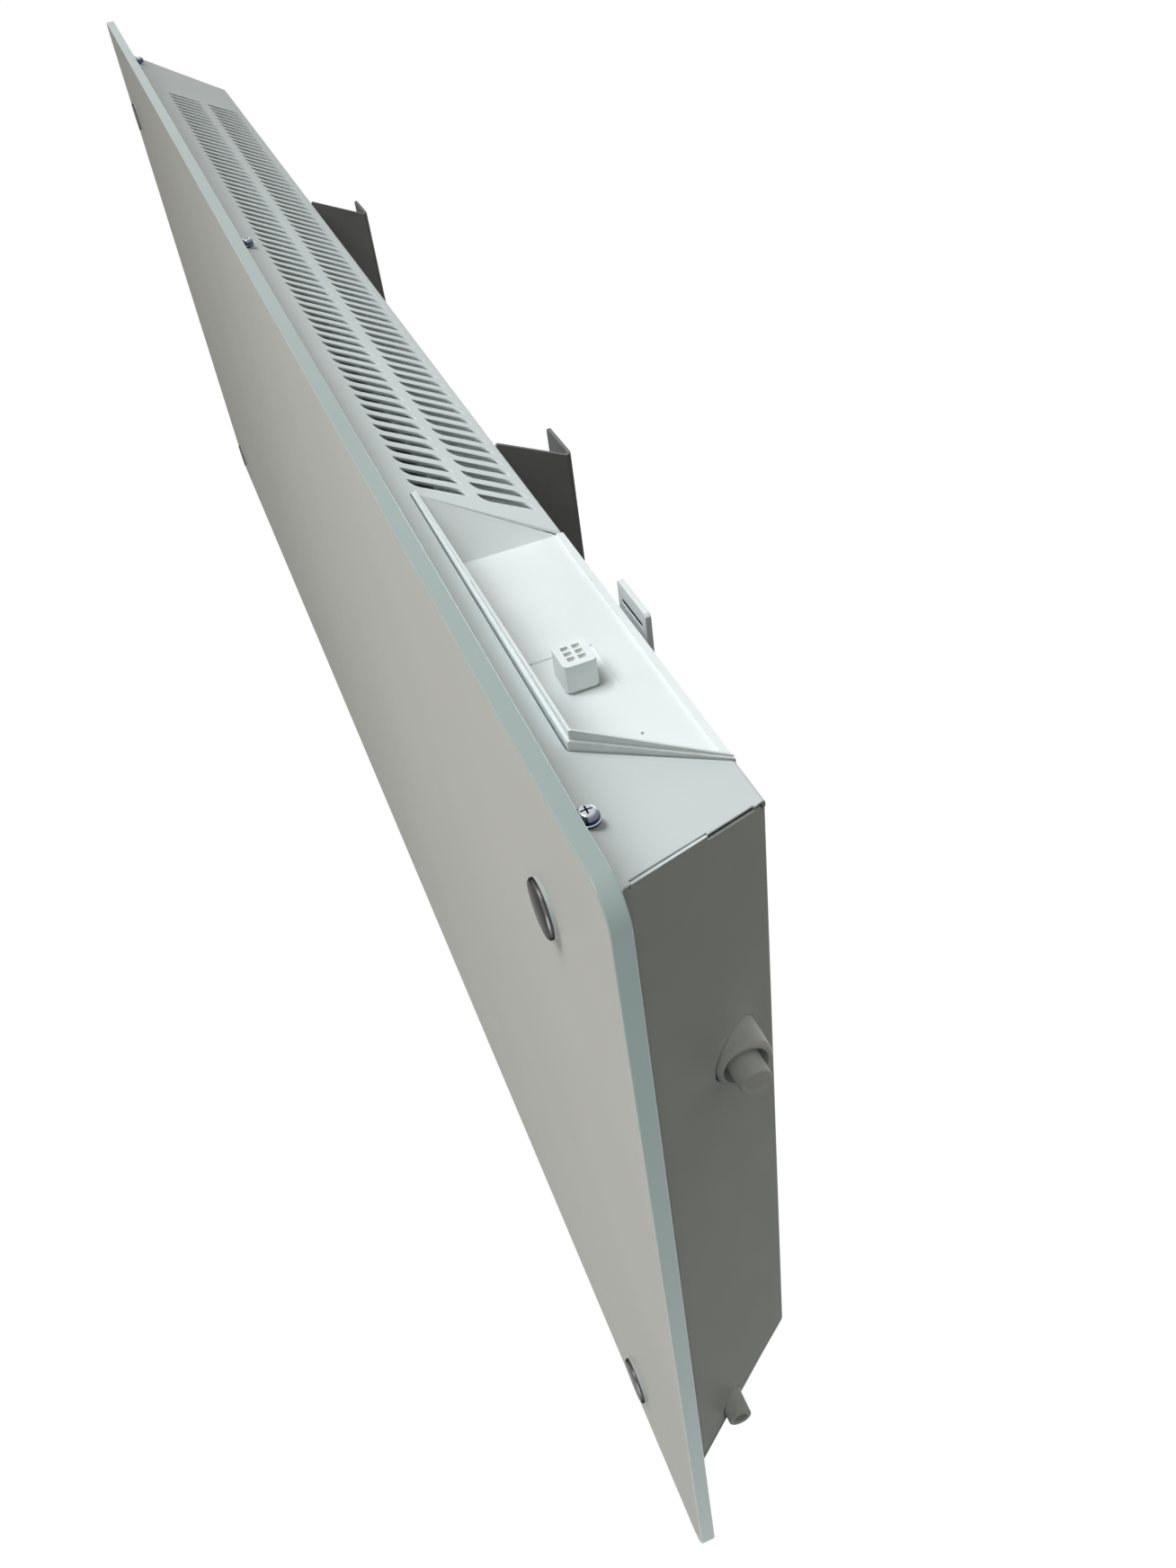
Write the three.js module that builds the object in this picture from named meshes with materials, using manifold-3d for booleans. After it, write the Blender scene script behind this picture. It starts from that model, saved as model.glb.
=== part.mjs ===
// A wall-hung electric panel radiator with a glass front, in millimetres.
// The origin is on the wall, at mid length and mid height of the glass. +X runs along the radiator
// towards the end with the switch, +Y runs to the wall and +Z is up.
import * as THREE from 'three';
import { mergeVertices } from 'three/addons/utils/BufferGeometryUtils.js';
import Module from 'manifold-3d';

const wasm = await Module();
wasm.setup();

// Driving dimensions
const glassLength = 930;
const glassHeight = 340;
const glassThickness = 5;
const glassCornerRadius = 10;
const totalDepth = 91;
const glassToCasing = 4;
const glassBesideCasing = 20.7;
const glassAboveCasing = 19.7;
const glassBelowCasing = 19;
const casingDepth = 52.7;
const roofSlope = THREE.MathUtils.degToRad(26.14);
const endSlant = THREE.MathUtils.degToRad(34.6);
const sheet = 1;
const clearance = 0.3;
const overrun = 20;

// Planes of the casing
const glassFront = -totalDepth;
const glassBack = glassFront + glassThickness;
const casingFront = glassBack + glassToCasing;
const casingRear = casingFront + casingDepth;
const casingTop = glassHeight / 2 - glassAboveCasing;
const casingBottom = glassBelowCasing - glassHeight / 2;
const casingHalf = glassLength / 2 - glassBesideCasing;
const roofAt = (y) => casingTop - (y - casingFront) * Math.tan(roofSlope);
const endAt = (y) => casingHalf - (y - casingFront) * Math.tan(endSlant);
const rearHalf = endAt(casingRear);

// Folded flanges of the casing
const frontBendRadius = 1.5;
const rearBendRadius = 2.5;
const panelBendRadius = 2.5;
const roofFrontFlange = 20;
const roofRearFlange = 12.4;
const endFrontFlange = 14;
const endRearFlange = 12;
const bottomFlange = 6;
const panelFront = casingFront + sheet + clearance;
const panelRear = casingRear - sheet - clearance;
const panelMargin = 3;
const plateBottom = casingBottom + rearBendRadius + clearance;
const insideFront = panelFront + sheet + clearance;
const insideRear = panelRear - sheet - clearance;

// Control tray
const trayInset = 53.5;
const trayLength = 144.5;
const traySetback = 8.2;
const trayFarLean = 14.4;
const trayRampRun = 13.7;
const trayFloorDrop = 0.44;
const trayWall = 2;
const trayRimNear = 5;
const trayRimFar = 0.7;
const trayRimEnd = 0.9;
const trayRimWidth = 0.8;
const trayLedgeWidth = 1;
const trayLedgeNear = 2.5;
const trayLedgeFar = 0.3;
const trayLedgeEnd = 0.5;
const trayLipDepth = 2.2;
const trayLipHeight = 0.8;
const trayRight = casingHalf - trayInset;
const trayFront = casingFront + traySetback;
const trayFarFront = trayRight - trayLength;
const trayFarRear = trayFarFront + trayFarLean;
const trayFold = trayFarFront + trayRampRun;
const trayFloor = roofAt(casingRear) - trayFloorDrop;

// Slots in the top: two rows that start beside the tray
const slotPitch = 9.13;
const slotWidth = 4.2;
const slotSlant = THREE.MathUtils.degToRad(5);
const slotTipLength = 4.6;
const slotRowGap = 3.6;
const slotFrontSetback = 9.8;
const slotFrontInset = 11.1;
const slotRearSetback = 3.6;
const slotRearInset = 7.9;
const slotRearLength = 17.7;
const slotFarMargin = 100;
const slotRearStart = casingRear - slotRearSetback - slotRearLength;
const slotFrontStart = casingFront + slotFrontSetback;
const slotNearest = trayFarFront - slotFrontInset;
const slotRows = [
  { nearest: slotNearest, front: slotFrontStart, rear: slotRearStart - slotRowGap },
  { nearest: trayFarFront - slotRearInset, front: slotRearStart, rear: casingRear - slotRearSetback },
];
const slotCount = 1 + Math.floor((slotNearest + casingHalf - slotFarMargin) / slotPitch);

// Air inlets in the bottom
const inletPitch = 26;
const inletLength = 20;
const inletWidth = 6;
const inletCorner = 1.5;
const inletFrontSetback = 13;
const inletRearSetback = 15.7;
const inletMargin = 95;
const inletShift = -40;
const inletCount = Math.floor(2 * (rearHalf - inletMargin) / inletPitch);

// Socket block in the tray
const socketInset = 54.3;
const socketSetback = 20.4;
const socketCentre = new THREE.Vector2(trayRight - socketInset, trayFront + socketSetback);
const socketLength = 12;
const socketDepth = 10.3;
const socketHeight = 9.1;
const socketCorner = 1.5;
const socketWall = 1.5;
const socketTop = 1.5;
const contactPitchX = 2.7;
const contactPitchY = 3.4;
const contactSlotX = 1.2;
const contactSlotY = 1.8;
const contactBase = 1.2;
const contactReach = 0.6;

// Glass fixings
const capInset = 52.6;
const capTopInset = 50.5;
const capBottomInset = 32;
const capRadius = 8.2;
const capHeight = 2;
const capBevel = 0.8;
const capStudRadius = 3;
const capStudEnd = 6;
const spacerRadius = 6.5;
const nutRadius = 5.2;
const nutHeight = 4;

// Dome-headed screws on the front bend of the top
const domeInset = 24.8;
const domeMiddle = -11;
const domeSetback = 2.6;
const domeRadius = 3.4;
const domeHeight = 3.2;
const domeRim = 0.8;
const domeShankRadius = 1.2;
const domeShankLength = 8.4;

// Switch in the right-hand end
const switchSetback = 17.9;
const switchDrop = 103.4;
const switchY = casingRear - switchSetback;
const switchZ = casingTop - switchDrop;
const collarReach = 7;
const collarRadius = 8.7;
const collarMouthRadius = 8;
const collarRounding = 1.5;
const collarBore = 6;
const collarChamber = 7;
const collarBackWall = 2;
const collarLength = 26.8;
const collarMouth = endAt(switchY) + collarReach;
const collarBack = collarMouth - collarLength;
const buttonReach = 6.5;
const buttonRadius = 5;
const buttonEdge = 0.6;
const buttonLength = 27.8;
const buttonFlange = 2;
const buttonStemRadius = 2.5;
const buttonStemLength = 8;
const buttonTravel = 3;
const buttonEnd = collarMouth + buttonReach;
const buttonBack = buttonEnd - buttonLength;
const switchBodyLength = 20;
const switchBodyWidth = 19.5;
const switchBodyHeight = 20;

// Cord bush low in the same end
const bushSetback = 20;
const bushLift = 6.4;
const bushY = casingFront + bushSetback;
const bushZ = casingBottom + bushLift;
const bushRadius = 4.4;
const bushBore = 2.6;
const bushReach = 7.5;
const bushLength = 14;
const bushEdge = 0.7;
const bushEnd = endAt(bushY) + bushReach;

// Wall bracket
const bracketSheet = 1.5;
const bracketBend = 2.5;
const bracketSpan = 321.4;
const bracketInset = 256.3;
const webWidth = 26;
const webRise = 1.7;
const armLift = 26;
const armBottom = casingBottom + armLift;
const armFront = casingRear + clearance;
const railHeight = 50;
const railOverlap = 22;
const joggleRun = 2.5;
const joggleRadius = 2;
const hookDrop = 70.3;
const hookLift = 51;
const hookHeights = [casingTop - hookDrop, casingBottom + hookLift];
const hookThickness = 6;
const hookNose = 8;
const hookNoseDepth = 3;
const hookPlay = 0.8;
const liftTravel = 12;
const wallScrewDrop = 60.3;
const wallScrewHeight = casingTop - wallScrewDrop;
const wallScrewHead = 4.5;
const wallScrewHeadHeight = 2.6;
const wallScrewShank = 2.2;
const bufferLift = 91;
const bufferHeight = casingBottom + bufferLift;
const bufferRadius = 5;
const bufferStem = 2;
const bufferDepth = 2.4;

// Module catch behind the tray
const catchInset = 82;
const catchWidth = 22.9;
const catchPlate = 2;
const catchSetback = 5.3;
const catchRise = 2;
const catchLength = 56;
const catchSlotLength = 16;
const catchSlotHeight = 1.6;
const catchSlotDrop = 6;
const catchHub = 3.2;
const catchPin = 1.2;
const catchEar = 1.5;
const catchEarGap = 0.6;
const catchEarHeight = 18;
const catchEarReach = 10.3;
const catchCentre = trayRight - catchInset;
const catchY = casingRear + catchSetback;
const catchTop = trayFloor + catchRise;
const catchPivot = catchTop - catchLength;

// Heat shield, heating element and what holds it
const shieldDepth = 6.1;
const shieldDrop = 90.3;
const shieldLift = 21;
const shieldFront = insideRear - shieldDepth;
const shieldTop = casingTop - shieldDrop;
const shieldBottom = casingBottom + shieldLift;
const elementRightInset = 212.3;
const elementLeftInset = 114.3;
const elementLift = 56;
const elementY = (insideFront + shieldFront) / 2;
const elementZ = casingBottom + elementLift;
const elementRight = casingHalf - elementRightInset;
const elementLeft = elementLeftInset - casingHalf;
const elementFin = 2.4;
const elementFinSpan = 60;
const elementFinTilt = THREE.MathUtils.degToRad(25);
const elementCore = 5;
const elementStub = 4;
const elementStubLength = 30;
const holderSetback = 9;
const holderSheet = 1.5;
const holderMargin = 5;
const holderRise = 25;
const holderFoot = 14;
const insulatorRadius = 7;
const insulatorLength = 12;
const cutoutInset = 112;
const cutoutDrop = 60;
const cutoutRadius = 8;
const cutoutDepth = 4.7;

// Terminals and inside leads
const terminalInset = 99.3;
const terminalLift = 37;
const terminalCentre = new THREE.Vector2(casingHalf - terminalInset, casingBottom + terminalLift);
const terminalLength = 30;
const terminalDepth = 12;
const terminalHeight = 12;
const terminalHole = 1.6;
const terminalHoleCount = 3;
const earthInset = 69.3;
const earthLift = 66;
const earthPlace = new THREE.Vector2(casingHalf - earthInset, casingBottom + earthLift);
const smallHead = 3;
const smallHeadHeight = 1.8;
const smallShank = 1.7;
const smallShankLength = 6;
const casingScrewInset = 7.5;
const casingScrewDrop = 60.3;
const casingScrewLift = 31;
const casingScrewHeights = [casingTop - casingScrewDrop, casingBottom + casingScrewLift];
const supplyLeadRadius = 2.5;
const innerLeadRadius = 1.5;
const leadFoot = 9;

// Facets
const bendSteps = 3;
const smallSides = 12;
const roundSides = 24;
const leadSides = 8;
const leadSteps = 22;

// Finishes
function finish(color, roughness, metalness) {
  return new THREE.MeshStandardMaterial({ color, roughness, metalness, flatShading: true });
}

const glassWhite = finish('#dfe6e3', 0.12, 0);
const enamelWhite = finish('#e6ebeb', 0.42, 0);
const plasticWhite = finish('#eef3f1', 0.38, 0);
const chrome = finish('#8f9497', 0.15, 1);
const bracketSteel = finish('#3e4040', 0.6, 0.2);
const zincSteel = finish('#b3b7b9', 0.4, 0.9);
const aluminium = finish('#bcbfc0', 0.35, 0.9);
const ceramic = finish('#ddd6c6', 0.7, 0);
const rubber = finish('#2b2c2d', 0.85, 0);
const plasticBlack = finish('#232425', 0.5, 0);
const brass = finish('#b7924c', 0.35, 1);

// Geometry helpers
const point = (x, y) => new THREE.Vector2(x, y);

function signedVolume(position, index) {
  const corners = [new THREE.Vector3(), new THREE.Vector3(), new THREE.Vector3()];
  let volume = 0;
  for (let i = 0; i < index.length; i += 3) {
    corners.forEach((corner, k) => corner.fromArray(position, index[i + k] * 3));
    volume += corners[0].dot(corners[1].clone().cross(corners[2])) / 6;
  }
  return volume;
}

// A closed three.js geometry as a solid, with its faces turned outwards.
function toSolid(geometry) {
  const bare = geometry.clone();
  bare.deleteAttribute('normal');
  bare.deleteAttribute('uv');
  const merged = mergeVertices(bare);
  const position = merged.attributes.position.array;
  const triangles = [];
  for (let i = 0; i < merged.index.count; i += 3) {
    const [a, b, c] = merged.index.array.slice(i, i + 3);
    if (a !== b && b !== c && c !== a) triangles.push(a, b, c);
  }
  if (signedVolume(position, triangles) < 0) triangles.reverse();
  const mesh = { numProp: 3, vertProperties: position, triVerts: Uint32Array.from(triangles) };
  return new wasm.Manifold(new wasm.Mesh(mesh));
}

function toGeometry(solid) {
  const mesh = solid.getMesh();
  const geometry = new THREE.BufferGeometry();
  geometry.setAttribute('position', new THREE.BufferAttribute(mesh.vertProperties, 3));
  geometry.setIndex(new THREE.BufferAttribute(mesh.triVerts, 1));
  return geometry;
}

const join = (...solids) => solids.reduce((all, solid) => all.add(solid));
const cut = (solid, ...tools) => solid.subtract(join(...tools));

function mirrorX(solid) {
  const geometry = toGeometry(solid);
  geometry.scale(-1, 1, 1);
  return toSolid(geometry);
}

// An outline extruded along one axis. It is drawn in (y, z) for x, in (x, z) for y and in (x, y) for z.
const prismFrames = {
  x: [new THREE.Vector3(0, 1, 0), new THREE.Vector3(0, 0, 1), new THREE.Vector3(1, 0, 0)],
  y: [new THREE.Vector3(1, 0, 0), new THREE.Vector3(0, 0, 1), new THREE.Vector3(0, -1, 0)],
  z: [new THREE.Vector3(1, 0, 0), new THREE.Vector3(0, 1, 0), new THREE.Vector3(0, 0, 1)],
};

function extruded(axis, outline, from, to) {
  const shape = new THREE.Shape(outline);
  const geometry = new THREE.ExtrudeGeometry(shape, { depth: to - from, bevelEnabled: false });
  const frame = prismFrames[axis];
  geometry.applyMatrix4(new THREE.Matrix4().makeBasis(...frame));
  const start = frame[2].clone().multiplyScalar(axis === 'y' ? -to : from);
  geometry.translate(start.x, start.y, start.z);
  return toSolid(geometry);
}

function prism(axis, outline, from, to, holes = []) {
  const solid = extruded(axis, outline, from, to);
  if (holes.length === 0) return solid;
  const tools = holes.map((hole) => extruded(axis, hole, from - overrun, to + overrun));
  return solid.subtract(wasm.Manifold.union(tools));
}

function box(x0, x1, y0, y1, z0, z1) {
  const geometry = new THREE.BoxGeometry(x1 - x0, y1 - y0, z1 - z0);
  geometry.translate((x0 + x1) / 2, (y0 + y1) / 2, (z0 + z1) / 2);
  return toSolid(geometry);
}

// A profile of (radius, place along the axis) turned round an axis through the centre.
function turned(axis, profile, centre, sides) {
  const geometry = new THREE.LatheGeometry(profile, sides);
  if (axis === 'x') geometry.rotateZ(-Math.PI / 2);
  if (axis === 'z') geometry.rotateX(Math.PI / 2);
  geometry.translate(centre.x, centre.y, centre.z);
  return toSolid(geometry);
}

function rod(axis, radius, from, to, centre, sides = smallSides) {
  return turned(axis, [point(0, from), point(radius, from), point(radius, to), point(0, to)], centre, sides);
}

function ring(axis, inner, outer, from, to, centre, sides = roundSides) {
  const profile = [
    point(inner, from), point(outer, from), point(outer, to), point(inner, to), point(inner, from),
  ];
  return turned(axis, profile, centre, sides);
}

const at = (x, y, z) => new THREE.Vector3(x, y, z);

// A bent line: straight runs between sharp corners with an arc at each, moved by inset to its right.
function bentLine(corners, radii, inset) {
  const normals = corners.slice(1).map((corner, i) => {
    const along = corner.clone().sub(corners[i]).normalize();
    return point(along.y, -along.x);
  });
  const line = [corners[0].clone().addScaledVector(normals[0], inset)];
  for (let i = 1; i + 1 < corners.length; i += 1) {
    const before = normals[i - 1];
    const after = normals[i];
    const turn = Math.atan2(before.cross(after), before.dot(after));
    const side = turn < 0 ? 1 : -1;
    const radius = radii[i - 1];
    const bisector = before.clone().add(after).normalize();
    const centre = corners[i].clone().addScaledVector(bisector, side * radius / Math.cos(turn / 2));
    for (let k = 0; k <= bendSteps; k += 1) {
      const normal = before.clone().rotateAround(point(0, 0), turn * k / bendSteps);
      line.push(centre.clone().addScaledVector(normal, inset - side * radius));
    }
  }
  line.push(corners.at(-1).clone().addScaledVector(normals.at(-1), inset));
  return line;
}

function sheetOutline(corners, radii, thickness) {
  return [...bentLine(corners, radii, 0), ...bentLine(corners, radii, thickness).reverse()];
}

function roundedRectangle(x0, x1, y0, y1, radius, steps = bendSteps) {
  const centres = [point(x1 - radius, y1 - radius), point(x0 + radius, y1 - radius),
    point(x0 + radius, y0 + radius), point(x1 - radius, y0 + radius)];
  const outline = [];
  centres.forEach((centre, quarter) => {
    for (let k = 0; k <= steps; k += 1) {
      const angle = (quarter + k / steps) * Math.PI / 2;
      outline.push(point(centre.x + radius * Math.cos(angle), centre.y + radius * Math.sin(angle)));
    }
  });
  return outline;
}

function circle(x, y, radius, sides = smallSides) {
  return Array.from({ length: sides }, (_, i) => {
    const angle = 2 * Math.PI * i / sides;
    return point(x + radius * Math.cos(angle), y + radius * Math.sin(angle));
  });
}

const radiator = new THREE.Group();

function piece(name, solid, material) {
  const mesh = new THREE.Mesh(toGeometry(solid), material);
  mesh.name = name;
  radiator.add(mesh);
}

// Screw with a flat-based domed head that faces along -Y and a plain shank towards the wall
function screwSolid(place, headBase, head, headHeight, shank, shankEnd) {
  const profile = [
    point(0, headBase - headHeight), point(head * Math.SQRT1_2, headBase - headHeight),
    point(head, headBase - headHeight / 2), point(head, headBase),
    point(shank, headBase), point(shank, shankEnd), point(0, shankEnd),
  ];
  return turned('y', profile, at(place.x, 0, place.y), smallSides);
}

// Glass, its caps, spacers and nuts
function addGlass() {
  const capX = glassLength / 2 - capInset;
  const capTop = glassHeight / 2 - capTopInset;
  const capBottom = capBottomInset - glassHeight / 2;
  const corners = [
    { name: 'right_upper', x: capX, z: capTop }, { name: 'right_lower', x: capX, z: capBottom },
    { name: 'left_upper', x: -capX, z: capTop }, { name: 'left_lower', x: -capX, z: capBottom },
  ];
  const outline = roundedRectangle(
    -glassLength / 2, glassLength / 2, -glassHeight / 2, glassHeight / 2, glassCornerRadius, 6);
  const holes = corners.map(({ x, z }) => circle(x, z, capStudRadius + 2 * clearance));
  piece('glass_front', prism('y', outline, glassFront, glassBack, holes), glassWhite);
  const seat = glassFront - clearance;
  const nutStart = insideFront;
  const studEnd = nutStart + capStudEnd;
  corners.forEach(({ name, x, z }) => {
    const centre = at(x, 0, z);
    const cap = [
      point(0, seat - capHeight), point(capRadius - capBevel, seat - capHeight),
      point(capRadius, seat - capHeight + capBevel), point(capRadius, seat),
      point(capStudRadius, seat), point(capStudRadius, studEnd), point(0, studEnd),
    ];
    piece(`glass_cap_${name}`, turned('y', cap, centre, roundSides), chrome);
    const spacerBore = capStudRadius + clearance;
    const spacer = ring(
      'y', spacerBore, spacerRadius, glassBack + clearance, panelFront - clearance, centre, smallSides);
    piece(`glass_spacer_${name}`, spacer, rubber);
    const nut = ring('y', spacerBore, nutRadius, nutStart, nutStart + nutHeight, centre, 6);
    const bore = rod('y', spacerBore, nutStart - overrun, nutStart + overrun, centre);
    piece(`glass_nut_${name}`, cut(nut, bore), zincSteel);
  });
  return corners;
}

// Top cover: folded sheet with slots, cut to the slanted ends and notched for the tray
const roofCorners = [
  point(casingFront, casingTop - roofFrontFlange), point(casingFront, casingTop),
  point(casingRear, roofAt(casingRear)), point(casingRear, roofAt(casingRear) - roofRearFlange),
];
const roofRadii = [frontBendRadius, rearBendRadius];
const frontShoulder = casingTop - frontBendRadius * 2;
const rearShoulder = roofAt(casingRear) - rearBendRadius;

function casingPlan() {
  return [
    point(-casingHalf, casingFront), point(casingHalf, casingFront),
    point(rearHalf, casingRear), point(-rearHalf, casingRear),
  ];
}

// A leaf-shaped slot: its front tip lies on the left edge and its rear tip on the right edge.
function slotOutline(left, front, rear) {
  const turnSteps = 2;
  const lean = (x, y) => point(x + (y - front) * Math.tan(slotSlant), y);
  const outline = [];
  for (let k = 0; k <= turnSteps; k += 1) {
    const angle = k / turnSteps * Math.PI / 2;
    const across = slotWidth * (1 - Math.cos(angle));
    outline.push(lean(left + across, rear - slotTipLength * (1 - Math.sin(angle))));
  }
  for (let k = 0; k <= turnSteps; k += 1) {
    const angle = k / turnSteps * Math.PI / 2;
    const across = slotWidth * Math.cos(angle);
    outline.push(lean(left + across, front + slotTipLength * (1 - Math.sin(angle))));
  }
  return outline;
}

function slotTools() {
  const slots = [];
  for (const row of slotRows) {
    for (let i = 0; i < slotCount; i += 1) {
      const outline = slotOutline(row.nearest - i * slotPitch, row.front, row.rear);
      slots.push(prism('z', outline, trayFloor - overrun, casingTop + overrun));
    }
  }
  return wasm.Manifold.union(slots);
}

function trayPlan(margin, rear) {
  const slant = (trayFarRear - trayFarFront) / (casingRear - trayFront);
  const farAt = (y) => trayFarFront + (y - trayFront) * slant - margin * Math.hypot(1, slant);
  return [
    point(farAt(trayFront - margin), trayFront - margin), point(trayRight + margin, trayFront - margin),
    point(trayRight + margin, rear), point(farAt(rear), rear),
  ];
}

const domePlaces = [
  { name: 'right', x: casingHalf - domeInset }, { name: 'middle', x: domeMiddle },
  { name: 'left', x: domeInset - casingHalf },
];
const domeY = casingFront + domeSetback;
const roofCrest = casingTop - frontBendRadius / Math.tan(Math.PI / 4 - roofSlope / 2) + frontBendRadius;

function addTopCover() {
  const outline = sheetOutline(roofCorners, roofRadii, sheet);
  const folded = prism('x', outline, -casingHalf, casingHalf);
  const trimmed = folded.intersect(prism('z', casingPlan(), casingBottom, casingTop + overrun));
  const far = casingHalf + overrun;
  const frontCut = casingHalf - endFrontFlange - clearance;
  const rearCut = rearHalf - endRearFlange - clearance;
  const low = casingTop - roofFrontFlange - overrun;
  const flangeCuts = [
    box(frontCut, far, casingFront - overrun, panelFront, low, frontShoulder),
    box(-far, -frontCut, casingFront - overrun, panelFront, low, frontShoulder),
    box(rearCut, far, panelRear, casingRear + overrun, low, rearShoulder),
    box(-far, -rearCut, panelRear, casingRear + overrun, low, rearShoulder),
  ];
  const notch = prism('z', trayPlan(clearance, casingRear + overrun),
    trayFloor - trayWall - clearance, casingTop + overrun);
  const screwHoles = domePlaces.map(({ x }) => rod(
    'z', domeShankRadius + clearance, casingTop - overrun, casingTop + overrun, at(x, domeY, 0)));
  piece('top_cover', cut(trimmed, ...flangeCuts, notch, slotTools(), ...screwHoles), enamelWhite);
}

function addDomeScrews() {
  const seat = roofCrest + clearance;
  const profile = [
    point(0, seat - domeShankLength), point(domeShankRadius, seat - domeShankLength),
    point(domeShankRadius, seat), point(domeRadius, seat), point(domeRadius, seat + domeRim),
  ];
  const steps = 4;
  for (let k = 1; k <= steps; k += 1) {
    const angle = k / steps * Math.PI / 2;
    const rise = (domeHeight - domeRim) * Math.sin(angle);
    profile.push(point(k === steps ? 0 : domeRadius * Math.cos(angle), seat + domeRim + rise));
  }
  domePlaces.forEach(({ name, x }) => {
    piece(`top_screw_${name}`, turned('z', profile, at(x, domeY, 0), smallSides), chrome);
  });
}

// What lies under the roof sheet, for pieces that are trimmed to it
function underRoof() {
  const depth = sheet + clearance;
  const line = bentLine(roofCorners, roofRadii, depth).filter(
    (corner, i) => corner.y > (i <= bendSteps + 1 ? frontShoulder : rearShoulder) - clearance);
  const front = casingFront - overrun;
  const rear = casingRear + overrun;
  const frontLevel = frontShoulder - clearance;
  const rearLevel = rearShoulder - clearance;
  const low = casingBottom - overrun;
  return [
    point(front, low), point(front, frontLevel), point(casingFront + depth, frontLevel), ...line,
    point(casingRear - depth, rearLevel), point(rear, rearLevel), point(rear, low),
  ];
}

const screwX = rearHalf - casingScrewInset;

function rearScrewHoles(radius) {
  return casingScrewHeights.map((z) => rod(
    'y', radius, casingRear - overrun, casingRear + overrun, at(screwX, 0, z)));
}

function endPanelSolid() {
  const corners = [
    point(rearHalf - endRearFlange, casingRear), point(rearHalf, casingRear),
    point(casingHalf, casingFront), point(casingHalf - endFrontFlange, casingFront),
  ];
  const outline = sheetOutline(corners, [panelBendRadius, panelBendRadius], sheet);
  const panel = prism('z', outline, casingBottom + sheet + clearance, casingTop);
  const trimmed = panel.intersect(prism('x', underRoof(), 0, casingHalf + overrun));
  return cut(trimmed, ...rearScrewHoles(smallShank + clearance));
}

function addEndPanels() {
  const panel = endPanelSolid();
  const inner = rearHalf - endRearFlange;
  const outer = casingHalf + overrun;
  const switchHole = rod('x', collarRadius + clearance, inner, outer, at(0, switchY, switchZ), roundSides);
  const bushHole = rod('x', bushRadius + clearance, inner, outer, at(0, bushY, bushZ), roundSides);
  const bushHalf = bushRadius + clearance;
  const bushNotch = box(inner, outer, bushY - bushHalf, bushY + bushHalf, casingBottom - overrun, bushZ);
  piece('end_panel_right', cut(panel, switchHole, bushHole, bushNotch), enamelWhite);
  piece('end_panel_left', mirrorX(panel), enamelWhite);
}

function addFrontPlate(caps) {
  const half = endAt(panelFront) - 2 * panelMargin;
  const outline = [
    point(-half, plateBottom), point(half, plateBottom),
    point(half, casingTop - roofFrontFlange + 2 * panelMargin + clearance * 2),
    point(-half, casingTop - roofFrontFlange + 2 * panelMargin + clearance * 2),
  ];
  const holes = caps.map(({ x, z }) => circle(x, z, capStudRadius + 2 * clearance));
  piece('front_plate', prism('y', outline, panelFront, panelFront + sheet, holes), enamelWhite);
}

const armX = casingHalf - bracketInset;
const farArmX = armX - bracketSpan;
const hookXs = [armX, farArmX].map((x) => x - bracketSheet / 2);
const rearPlateHalf = rearHalf - panelMargin;

function addRearPanel() {
  const outline = [
    point(-rearPlateHalf, plateBottom), point(rearPlateHalf, plateBottom),
    point(rearPlateHalf, trayFloor - 2 * trayWall), point(-rearPlateHalf, trayFloor - 2 * trayWall),
  ];
  const holes = [];
  for (const x of hookXs) {
    const half = bracketSheet / 2 + hookPlay;
    for (const height of hookHeights) {
      const top = height + clearance;
      const bottom = height - hookThickness - liftTravel - 2 * clearance;
      holes.push([
        point(x - half, bottom), point(x + half, bottom), point(x + half, top), point(x - half, top),
      ]);
    }
    holes.push(circle(x, bufferHeight, bufferStem + clearance));
  }
  for (const x of [screwX, -screwX]) {
    for (const z of casingScrewHeights) holes.push(circle(x, z, smallShank + clearance));
  }
  holes.push(circle(earthPlace.x, earthPlace.y, smallShank + clearance));
  piece('rear_panel', prism('y', outline, panelRear - sheet, panelRear, holes), enamelWhite);
}

function addBottomPanel() {
  const corners = [
    point(casingRear, casingBottom + bottomFlange), point(casingRear, casingBottom),
    point(casingFront, casingBottom), point(casingFront, casingBottom + bottomFlange),
  ];
  const outline = sheetOutline(corners, [rearBendRadius, rearBendRadius], sheet);
  const folded = prism('x', outline, -casingHalf, casingHalf);
  const trimmed = folded.intersect(
    prism('z', casingPlan(), casingBottom - overrun, casingBottom + bottomFlange + overrun));
  const far = casingHalf + overrun;
  const shoulder = casingBottom + sheet;
  const high = casingBottom + bottomFlange + overrun;
  const frontCut = casingHalf - endFrontFlange - clearance;
  const rearCut = rearHalf - endRearFlange - clearance;
  const tools = [
    box(frontCut, far, casingFront - overrun, panelFront + sheet, shoulder, high),
    box(-far, -frontCut, casingFront - overrun, panelFront + sheet, shoulder, high),
    box(rearCut, far, panelRear - sheet, casingRear + overrun, shoulder, high),
    box(-far, -rearCut, panelRear - sheet, casingRear + overrun, shoulder, high),
  ];
  for (const y of [casingFront + inletFrontSetback, casingRear - inletRearSetback]) {
    for (let i = 0; i < inletCount; i += 1) {
      const x = inletShift + (i - (inletCount - 1) / 2) * inletPitch;
      const slot = roundedRectangle(x - inletLength / 2, x + inletLength / 2,
        y - inletWidth / 2, y + inletWidth / 2, inletCorner, 1);
      tools.push(prism('z', slot, casingBottom - overrun, casingBottom + overrun));
    }
  }
  piece('bottom_panel', trimmed.subtract(wasm.Manifold.union(tools)), enamelWhite);
}

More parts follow.
